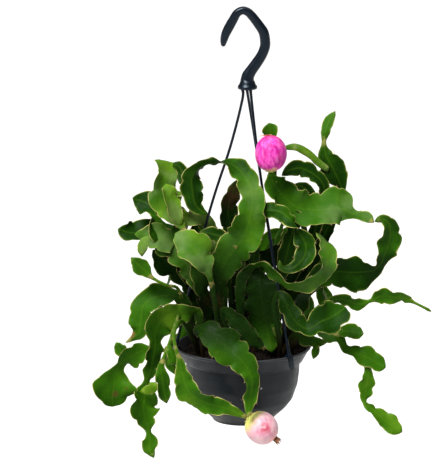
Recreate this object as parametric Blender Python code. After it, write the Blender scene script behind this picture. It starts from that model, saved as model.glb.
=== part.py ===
# A flat-stemmed jungle cactus with waved, notched stems, growing in a dark plastic pot on a moulded
# hanger. The origin is the hook's inner top, where a rail carries it. +X is right and +Y is away from
# the viewer. Sizes are in millimetres here and in metres on the objects.

import math

import bmesh
import bpy
from mathutils import Vector

for old in list(bpy.data.objects):
    bpy.data.objects.remove(old, do_unlink=True)

MM = 0.001

# Driving sizes of the pot and its hanger
RIM_RADIUS = 75.0
RIM_Z = -367.5
WALL = 2.0
BASE_RADIUS = 33.0
POT_HEIGHT = 84.0
FOOT_HEIGHT = 2.5
DRAIN_RADIUS = 3.0
DRAIN_CIRCLE = 19.0
DRAIN_COUNT = 6
HOLE_SIDES = 8
SOIL_DROP = 8.0
SOIL_DOME = 3.0
POT_SIDES = 44
GAP = 0.3
HOOK_FOOT_Z = -81.6
FLANGE_RADIUS = 10.5
FLANGE_X = 4.6
FLANGE_THICK = 4.0
HOOK_SIDES = 12
HOOK_STEP = 6.5
STRAND_RADIUS = 1.5
STRAND_SIDES = 8
STRAND_STEP = 22.0
CLIP_WIDTH = 7.0
CLIP_THICK = 1.8
CLIP_LENGTH = 15.0
CLIP_LEAN = 3.0

# Sizes of the stems: thickness along the midrib and at the margin, and the spacing of their notches
RIB_THICK = 2.4
EDGE_THICK = 1.1
LOBE = 24.0
STEPS_PER_LOBE = 3
WAVE_LENGTH = LOBE * 1.9
TIP_HALF_WIDTH = 0.9
FOLD_LIMIT = 0.8
THIN_STEP = 22.0
THIN_WIDTH = 3.2
PEG_DEPTH = 12.0
PEG_RADIUS = 2.3
PEG_ROOM = 0.45

# The front of the plant is laid out as the eye sees it, from this many degrees above
VIEW_DOWN = math.radians(12.5)
AWAY = Vector((0.0, math.cos(VIEW_DOWN), -math.sin(VIEW_DOWN)))
UP = Vector((0.0, math.sin(VIEW_DOWN), math.cos(VIEW_DOWN)))


# Materials
def material(name, colour, roughness, metallic=0.0):
    made = bpy.data.materials.new(name)
    made.use_nodes = True
    surface = made.node_tree.nodes["Principled BSDF"]
    surface.inputs["Base Color"].default_value = (*colour, 1.0)
    surface.inputs["Roughness"].default_value = roughness
    surface.inputs["Metallic"].default_value = metallic
    return made


POT_PLASTIC = material("pot_plastic", (0.035, 0.04, 0.045), 0.45)
HOOK_PLASTIC = material("hook_plastic", (0.03, 0.04, 0.05), 0.5)
SOIL_DARK = material("soil_dark", (0.03, 0.018, 0.01), 0.95)
LEAF_GREEN = material("leaf_green", (0.07, 0.2, 0.015), 0.4)
FRUIT_MAGENTA = material("fruit_magenta", (0.8, 0.08, 0.5), 0.4)
FRUIT_PALE = material("fruit_pale", (0.85, 0.45, 0.5), 0.4)
DRY_BROWN = material("dry_brown", (0.2, 0.1, 0.05), 0.85)


# Small helpers
def new_object(name, mesh, surface=None):
    obj = bpy.data.objects.new(name, mesh)
    bpy.context.scene.collection.objects.link(obj)
    if surface:
        mesh.materials.append(surface)
    return obj


def mesh_from(name, points, faces):
    """A closed mesh from points in millimetres, its faces turned outward."""
    work = bmesh.new()
    made = [work.verts.new(Vector(point) * MM) for point in points]
    for face in faces:
        work.faces.new([made[index] for index in face])
    bmesh.ops.recalc_face_normals(work, faces=work.faces)
    mesh = bpy.data.meshes.new(name)
    work.to_mesh(mesh)
    work.free()
    return mesh


def smooth(obj, degrees=40.0):
    obj.data.shade_smooth()
    obj.data.set_sharp_from_angle(angle=math.radians(degrees))
    return obj


def apply_boolean(obj, others, operation, solver="EXACT"):
    """Cuts or joins others into obj in one step, applies it and removes them."""
    group = bpy.data.collections.new("operands")
    bpy.context.scene.collection.children.link(group)
    for other in others:
        bpy.context.scene.collection.objects.unlink(other)
        group.objects.link(other)
        other.hide_render = True
        other.display_type = "WIRE"
    step = obj.modifiers.new("join", "BOOLEAN")
    step.operation = operation
    step.solver = solver
    step.operand_type = "COLLECTION"
    step.collection = group
    bpy.context.view_layer.update()
    seen = obj.evaluated_get(bpy.context.evaluated_depsgraph_get())
    result = bpy.data.meshes.new_from_object(seen)
    obj.modifiers.remove(step)
    obj.data = result
    for other in list(group.objects):
        bpy.data.objects.remove(other, do_unlink=True)
    bpy.data.collections.remove(group)
    return obj


def turned(name, profile, sides, surface=None, centre=(0.0, 0.0)):
    """A closed solid turned round the vertical through centre, from radius and height pairs. The
    profile starts and ends on the axis, or else it closes on itself."""
    points = []
    faces = []
    rings = []
    for radius, height in profile:
        if radius < 1e-6:
            rings.append([len(points)])
            points.append((centre[0], centre[1], height))
            continue
        ring = []
        for k in range(sides):
            angle = 2 * math.pi * k / sides
            ring.append(len(points))
            x = centre[0] + radius * math.cos(angle)
            y = centre[1] + radius * math.sin(angle)
            points.append((x, y, height))
        rings.append(ring)
    closed = len(rings[0]) > 1 and len(rings[-1]) > 1
    pairs = list(zip(rings, rings[1:]))
    if closed:
        pairs.append((rings[-1], rings[0]))
    for lower, upper in pairs:
        for k in range(sides):
            after = (k + 1) % sides
            if len(lower) == 1:
                faces.append((lower[0], upper[after], upper[k]))
            elif len(upper) == 1:
                faces.append((lower[k], lower[after], upper[0]))
            else:
                faces.append((lower[k], lower[after], upper[after], upper[k]))
    return new_object(name, mesh_from(name, points, faces), surface)


FINE = 24


def curve_points(controls, spacing):
    """Rows read at even steps from a smooth curve through the control rows, whose first three values
    are a place. The spacing may be a number or a function of a row."""
    rows = [[float(value) for value in row] for row in controls]
    first = [2 * a - b for a, b in zip(rows[0], rows[1])]
    last = [2 * a - b for a, b in zip(rows[-1], rows[-2])]
    padded = [first, *rows, last]
    dense = []
    for k in range(1, len(padded) - 2):
        p0, p1, p2, p3 = padded[k - 1 : k + 3]
        for j in range(FINE):
            u = j / FINE
            dense.append(
                [
                    0.5
                    * (
                        2 * b
                        + (c - a) * u
                        + (2 * a - 5 * b + 4 * c - d) * u * u
                        + (3 * b - a - 3 * c + d) * u**3
                    )
                    for a, b, c, d in zip(p0, p1, p2, p3)
                ]
            )
    dense.append(rows[-1])
    found = [(0.0, dense[0])]
    travelled = 0.0
    since = 0.0
    for before, after in zip(dense, dense[1:]):
        length = math.dist(before[:3], after[:3])
        travelled += length
        since += length
        step = spacing(after) if callable(spacing) else spacing
        if since >= step:
            found.append((travelled, after))
            since = 0.0
    if since < 2.0 and len(found) > 2:
        found.pop()
    found.append((travelled, dense[-1]))
    return found


# The pot: outer profile, heights measured down from the rim
def pot_profile():
    outer = [
        (BASE_RADIUS, -POT_HEIGHT),
        (BASE_RADIUS + 1.0, -POT_HEIGHT + FOOT_HEIGHT),
        (39.0, -76.6),
        (47.4, -69.0),
        (54.8, -59.5),
        (60.4, -43.0),
        (62.6, -19.0),
        (66.0, -16.5),
        (RIM_RADIUS - 1.0, -1.6),
        (RIM_RADIUS, -0.4),
    ]
    inner = [
        (RIM_RADIUS - 1.6, 0.0),
        (RIM_RADIUS - 2.6, -1.0),
        (64.2, -16.8),
        (60.4, -20.4),
        (58.4, -42.4),
        (53.0, -58.2),
        (46.0, -67.2),
        (37.9, -74.6),
        (29.0, -POT_HEIGHT + FOOT_HEIGHT + WALL),
        (0.0, -POT_HEIGHT + FOOT_HEIGHT + WALL),
    ]
    foot = [
        (0.0, -POT_HEIGHT + FOOT_HEIGHT),
        (BASE_RADIUS - 5.0, -POT_HEIGHT + FOOT_HEIGHT),
        (BASE_RADIUS - 4.0, -POT_HEIGHT),
    ]
    return [(radius, RIM_Z + height) for radius, height in foot + outer + inner]


def pot():
    shell = turned("pot", pot_profile(), POT_SIDES, POT_PLASTIC)
    holes = []
    for k in range(DRAIN_COUNT):
        angle = 2 * math.pi * (k + 0.5) / DRAIN_COUNT
        place = (DRAIN_CIRCLE * math.cos(angle), DRAIN_CIRCLE * math.sin(angle))
        low = RIM_Z - POT_HEIGHT - 2.0
        tube = [(0.0, low), (DRAIN_RADIUS, low), (DRAIN_RADIUS, low + 12.0), (0.0, low + 12.0)]
        holes.append(turned(f"drain_{k}", tube, HOLE_SIDES, centre=place))
    smooth(apply_boolean(shell, holes, "DIFFERENCE"))


def soil(feet):
    """The substrate up to a little under the rim, with a round hole for each stem's foot."""
    fill = [
        (0.0, -POT_HEIGHT + FOOT_HEIGHT + WALL + GAP),
        (28.6, -POT_HEIGHT + FOOT_HEIGHT + WALL + GAP),
        (37.5, -74.2),
        (45.5, -66.8),
        (52.5, -58.0),
        (57.9, -42.4),
        (60.0, -20.0),
        (63.8, -16.4),
        (67.2, -SOIL_DROP - 1.6),
        (50.0, -SOIL_DROP + SOIL_DOME * 0.1),
        (0.0, -SOIL_DROP + SOIL_DOME),
    ]
    body = turned("soil", [(r, RIM_Z + h) for r, h in fill], POT_SIDES, SOIL_DARK)
    holes = []
    top = RIM_Z + 4.0
    floor = RIM_Z - SOIL_DROP - PEG_DEPTH - 1.5
    radius = PEG_RADIUS + PEG_ROOM
    for k, place in enumerate(feet):
        tube = [(0.0, floor), (radius, floor), (radius, top), (0.0, top)]
        holes.append(turned(f"hole_{k}", tube, HOLE_SIDES, centre=place))
    smooth(apply_boolean(body, holes, "DIFFERENCE"))


# The hanger's hook: its centreline from the flange up, with the half width and half depth there
HOOK_LINE = [
    (4.4, -77.2, 8.0, 6.6),
    (4.4, -73.0, 7.3, 5.9),
    (5.4, -67.0, 6.6, 5.2),
    (9.1, -61.0, 5.9, 4.7),
    (14.5, -53.3, 5.7, 4.5),
    (19.9, -44.8, 5.4, 4.3),
    (23.1, -36.7, 5.4, 4.3),
    (23.7, -29.9, 5.4, 4.3),
    (22.0, -19.9, 5.3, 4.2),
    (17.4, -12.4, 5.0, 4.2),
    (9.9, -2.4, 4.7, 4.2),
    (5.0, 2.4, 4.5, 4.2),
    (-0.6, 4.3, 4.3, 4.2),
    (-6.6, 1.4, 4.4, 4.2),
    (-10.9, -5.8, 4.8, 4.2),
    (-15.6, -14.3, 5.0, 4.2),
    (-19.2, -21.8, 4.6, 4.0),
    (-21.0, -28.4, 3.8, 3.5),
    (-21.9, -34.2, 2.2, 2.2),
]


def hook():
    """A flattened rod bent to a hook, on a round flange that the strands hang from."""
    rows = curve_points([(x, 0.0, z, w, d) for x, z, w, d in HOOK_LINE], HOOK_STEP)
    points = []
    faces = []
    rings = []
    for height, radius in (
        (HOOK_FOOT_Z, FLANGE_RADIUS - 0.8),
        (HOOK_FOOT_Z + 0.8, FLANGE_RADIUS),
        (HOOK_FOOT_Z + FLANGE_THICK - 1.0, FLANGE_RADIUS),
        (HOOK_FOOT_Z + FLANGE_THICK, FLANGE_RADIUS - 1.4),
    ):
        rings.append((Vector((FLANGE_X, 0.0, height)), Vector((1, 0, 0)), radius, radius))
    for k, (_, row) in enumerate(rows):
        ahead = Vector(rows[min(k + 1, len(rows) - 1)][1][:3])
        behind = Vector(rows[max(k - 1, 0)][1][:3])
        along = (ahead - behind).normalized()
        across = Vector((along.z, 0.0, -along.x))
        if k == 0:
            across = Vector((1, 0, 0))
        rings.append((Vector(row[:3]), across, row[3], row[4]))
    for centre, across, wide, deep in rings:
        for j in range(HOOK_SIDES):
            angle = 2 * math.pi * j / HOOK_SIDES
            side = across * (wide * math.cos(angle)) + Vector((0, 1, 0)) * (deep * math.sin(angle))
            points.append(centre + side)
    for k in range(len(rings) - 1):
        for j in range(HOOK_SIDES):
            a = k * HOOK_SIDES + j
            b = k * HOOK_SIDES + (j + 1) % HOOK_SIDES
            faces.append((a, b, b + HOOK_SIDES, a + HOOK_SIDES))
    faces.append(tuple(range(HOOK_SIDES)))
    end = (len(rings) - 1) * HOOK_SIDES
    faces.append(tuple(end + j for j in range(HOOK_SIDES)))
    smooth(new_object("hanger_hook", mesh_from("hanger_hook", points, faces), HOOK_PLASTIC), 50.0)


# The strands: where each meets the rim, in degrees round it, its top under the flange, and how far
# it strays to the right of a straight line at some shares of its way down
STRANDS = {
    "hanger_strand_left": (190.0, (-1.0, 0.0), ((0.04, 3.0), (0.22, 3.2), (0.5, -1.4))),
    "hanger_strand_right": (-48.0, (7.8, -2.8), ((0.22, -2.2), (0.5, -2.6))),
    "hanger_strand_back": (50.0, (3.8, 4.4), ((0.22, 0.0), (0.5, -0.5))),
}


def strand(name, degrees, top, bows):
    angle = math.radians(degrees)
    out = Vector((math.cos(angle), math.sin(angle), 0.0))
    side = Vector((-out.y, out.x, 0.0))
    head = Vector((top[0], top[1], HOOK_FOOT_Z - GAP))
    clip_top = Vector((0, 0, RIM_Z + GAP + CLIP_THICK))
    foot = out * (RIM_RADIUS - 0.2) + clip_top - Vector((0, 0, 1.2))
    way = [head.lerp(foot, share) + Vector((shift, 0.0, 0.0)) for share, shift in bows]
    rows = curve_points([tuple(place) for place in (head, *way, foot)], STRAND_STEP)
    points = []
    faces = []
    for k, (_, row) in enumerate(rows):
        centre = Vector(row)
        for j in range(STRAND_SIDES):
            turn = 2 * math.pi * j / STRAND_SIDES
            points.append(centre + (out * math.cos(turn) + side * math.sin(turn)) * STRAND_RADIUS)
    for k in range(len(rows) - 1):
        for j in range(STRAND_SIDES):
            a = k * STRAND_SIDES + j
            b = k * STRAND_SIDES + (j + 1) % STRAND_SIDES
            faces.append((a, b, b + STRAND_SIDES, a + STRAND_SIDES))
    faces.append(tuple(range(STRAND_SIDES)))
    end = (len(rows) - 1) * STRAND_SIDES
    faces.append(tuple(end + j for j in range(STRAND_SIDES)))
    cord = new_object(name, mesh_from(name, points, faces), HOOK_PLASTIC)
    # The clip hooks over the rim. Its tongue hangs straight down, and leans a little to one side.
    outside = RIM_RADIUS + 0.7
    profile = [
        (RIM_RADIUS - 7.4, -6.2),
        (RIM_RADIUS - 4.8, GAP + CLIP_THICK - 0.8),
        (RIM_RADIUS - 4.0, GAP + CLIP_THICK),
        (outside + CLIP_THICK - 0.6, GAP + CLIP_THICK),
        (outside + CLIP_THICK, GAP + CLIP_THICK - 0.8),
        (outside + CLIP_THICK - 0.6, -11.0),
        (outside + CLIP_THICK - 1.0, -CLIP_LENGTH),
        (outside - 0.2, -CLIP_LENGTH),
        (outside, -11.0),
        (outside, GAP),
        (RIM_RADIUS - 3.0, GAP),
        (RIM_RADIUS - 5.8, -6.2),
    ]
    count = len(profile)
    wide = [CLIP_WIDTH / 2] * count
    wide[6] = CLIP_WIDTH * 0.28
    wide[7] = CLIP_WIDTH * 0.28
    points = []
    for sign in (-1, 1):
        for (radius, height), half in zip(profile, wide):
            lean = CLIP_LEAN * max(-height, 0.0) / CLIP_LENGTH * (radius > RIM_RADIUS)
            across = side * (sign * half + lean)
            points.append(out * radius + across + Vector((0, 0, RIM_Z + height)))
    quads = [(0, 1, 10, 11), (1, 2, 3, 10), (3, 4, 9, 10), (4, 5, 8, 9), (5, 6, 7, 8)]
    faces = list(quads)
    faces += [tuple(index + count for index in quad) for quad in quads]
    faces += [(k, (k + 1) % count, (k + 1) % count + count, k + count) for k in range(count)]
    clip = new_object("clip", mesh_from("clip", points, faces))
    smooth(apply_boolean(cord, [clip], "UNION"), 30.0)


# Places. The front stems are laid out in the view: right of the pot's axis, up from the rim's centre,
# and back from the plane through it. A side or back stem is laid out the same way, seen from a viewer
# who has walked round the pot by some degrees.
def at(right, up, back, view=0.0):
    place = Vector((right, 0.0, 0.0)) + UP * up + AWAY * back
    turn = math.radians(view)
    x = place.x * math.cos(turn) - place.y * math.sin(turn)
    y = place.x * math.sin(turn) + place.y * math.cos(turn)
    return Vector((x, y, place.z + RIM_Z))


def away_from(view):
    turn = math.radians(view)
    return Vector((-AWAY.y * math.sin(turn), AWAY.y * math.cos(turn), AWAY.z))


def soil_top(x, y):
    return RIM_Z - SOIL_DROP + SOIL_DOME * max(0.0, 1.0 - math.hypot(x, y) / 55.0)


# One flat stem with waved, notched margins, as a closed mesh.
# Each row is right, up, back, half width and turn; the turn, in degrees, swings the right-hand margin
# away from the viewer as one looks along the stem.
def blade_step(row):
    return THIN_STEP if row[3] < THIN_WIDTH else LOBE / STEPS_PER_LOBE


def blade(name, rows, view=0.0, swing=0.0, foot=None, cup=0.18, wave=1.6, start=0, notch=0.2):
    controls = []
    for right, up, back, half, turn in rows:
        # A swung blade is as much wider as the eye sees it narrowed
        share = min(max((half - THIN_WIDTH) / 3.0, 0.0), 1.0)
        wider = half / math.cos(math.radians(swing * share))
        controls.append((*at(right, up, back, view), wider, turn + swing * share))
    if foot:
        level = soil_top(*foot)
        controls.insert(0, (*foot, level + 1.5, PEG_RADIUS, rows[0][4]))
    read = curve_points(controls, blade_step)
    if foot:
        read.insert(0, (0.0, [*foot, level - PEG_DEPTH, PEG_RADIUS, rows[0][4]]))
    looking = away_from(view)
    places = [Vector(row[:3]) for _, row in read]
    count = len(read)

    # The direction along the blade and the one across it, carried smoothly round every bend
    alongs = []
    for k in range(count):
        step = places[min(k + 1, count - 1)] - places[max(k - 1, 0)]
        alongs.append(step.normalized())
    acrosses = []
    before = None
    for k in range(count):
        flat = looking.cross(alongs[k])
        if before and flat.length < 0.25:
            flat = before - alongs[k] * before.dot(alongs[k])
        elif before and flat.dot(before) < 0:
            flat = -flat
        flat.normalize()
        before = flat
        turn = math.radians(read[k][1][4])
        acrosses.append(flat * math.cos(turn) + alongs[k].cross(flat) * math.sin(turn))
    for _ in range(2):
        mixed = []
        for k in range(count):
            near = acrosses[max(k - 1, 0)] + acrosses[k] * 2 + acrosses[min(k + 1, count - 1)]
            near -= alongs[k] * near.dot(alongs[k])
            mixed.append(near.normalized())
        acrosses = mixed

    # Six points at each step: margin, midrib and margin, above and below
    points = []
    for k in range(count):
        travelled, row = read[k]
        half = max(row[3], TIP_HALF_WIDTH)
        along = alongs[k]
        across = acrosses[k]
        out = across.cross(along)
        bend = Vector((0, 0, 0))
        if 0 < k < count - 1:
            gap = (places[k + 1] - places[k - 1]).length / 2
            bend = (alongs[k + 1] - alongs[k - 1]) / (2 * max(gap, 1e-6))
        curl = bend.dot(across)
        broad = min(max((half - THIN_WIDTH) / 5.0, 0.0), 1.0)
        mid = (2 * PEG_RADIUS * 0.85) * (1 - broad) + RIB_THICK * broad
        mid = min(mid, 1.7 * half)
        edge = (mid * 0.45) * (1 - broad) + EDGE_THICK * broad
        edge = max(edge, 0.7)
        ring = []
        for sign, phase in ((1, start), (-1, start + 1)):
            place_in_lobe = (k + phase) % STEPS_PER_LOBE
            reach = half * (1.0 - notch * broad * (place_in_lobe == 0))
            # On the inside of a tight bend the margin stops short of folding over itself
            limit = FOLD_LIMIT / max(sign * curl, 1e-6)
            reach = min(reach, max(limit, 1.5))
            lift = cup * reach * broad
            swell = math.sin(2 * math.pi * (travelled / WAVE_LENGTH + phase * 0.5))
            lift += wave * broad * swell
            ring.append((across * (sign * reach) + out * lift, edge / 2))
        (right_side, thin), (left_side, _) = ring
        centre = places[k]
        points.append(centre + right_side + out * thin)
        points.append(centre + out * (mid / 2))
        points.append(centre + left_side + out * thin)
        points.append(centre + left_side - out * thin)
        points.append(centre - out * (mid / 2))
        points.append(centre + right_side - out * thin)
    faces = []
    for k in range(count - 1):
        a = k * 6
        b = a + 6
        # The top and the underside split along the same diagonals
        faces += [(a, a + 1, b + 1), (a, b + 1, b)]
        faces += [(a + 2, b + 1, a + 1), (a + 2, b + 2, b + 1)]
        faces += [(a + 5, b + 4, a + 4), (a + 5, b + 5, b + 4)]
        faces += [(a + 3, a + 4, b + 4), (a + 3, b + 4, b + 3)]
        faces += [(a + 2, a + 3, b + 3), (a + 2, b + 3, b + 2)]
        faces += [(a + 5, a, b), (a + 5, b, b + 5)]
    for a in (0, (count - 1) * 6):
        faces += [(a, a + 1, a + 4), (a, a + 4, a + 5)]
        faces += [(a + 1, a + 2, a + 3), (a + 1, a + 3, a + 4)]
    return new_object(name, mesh_from(name, points, faces), LEAF_GREEN)


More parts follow.
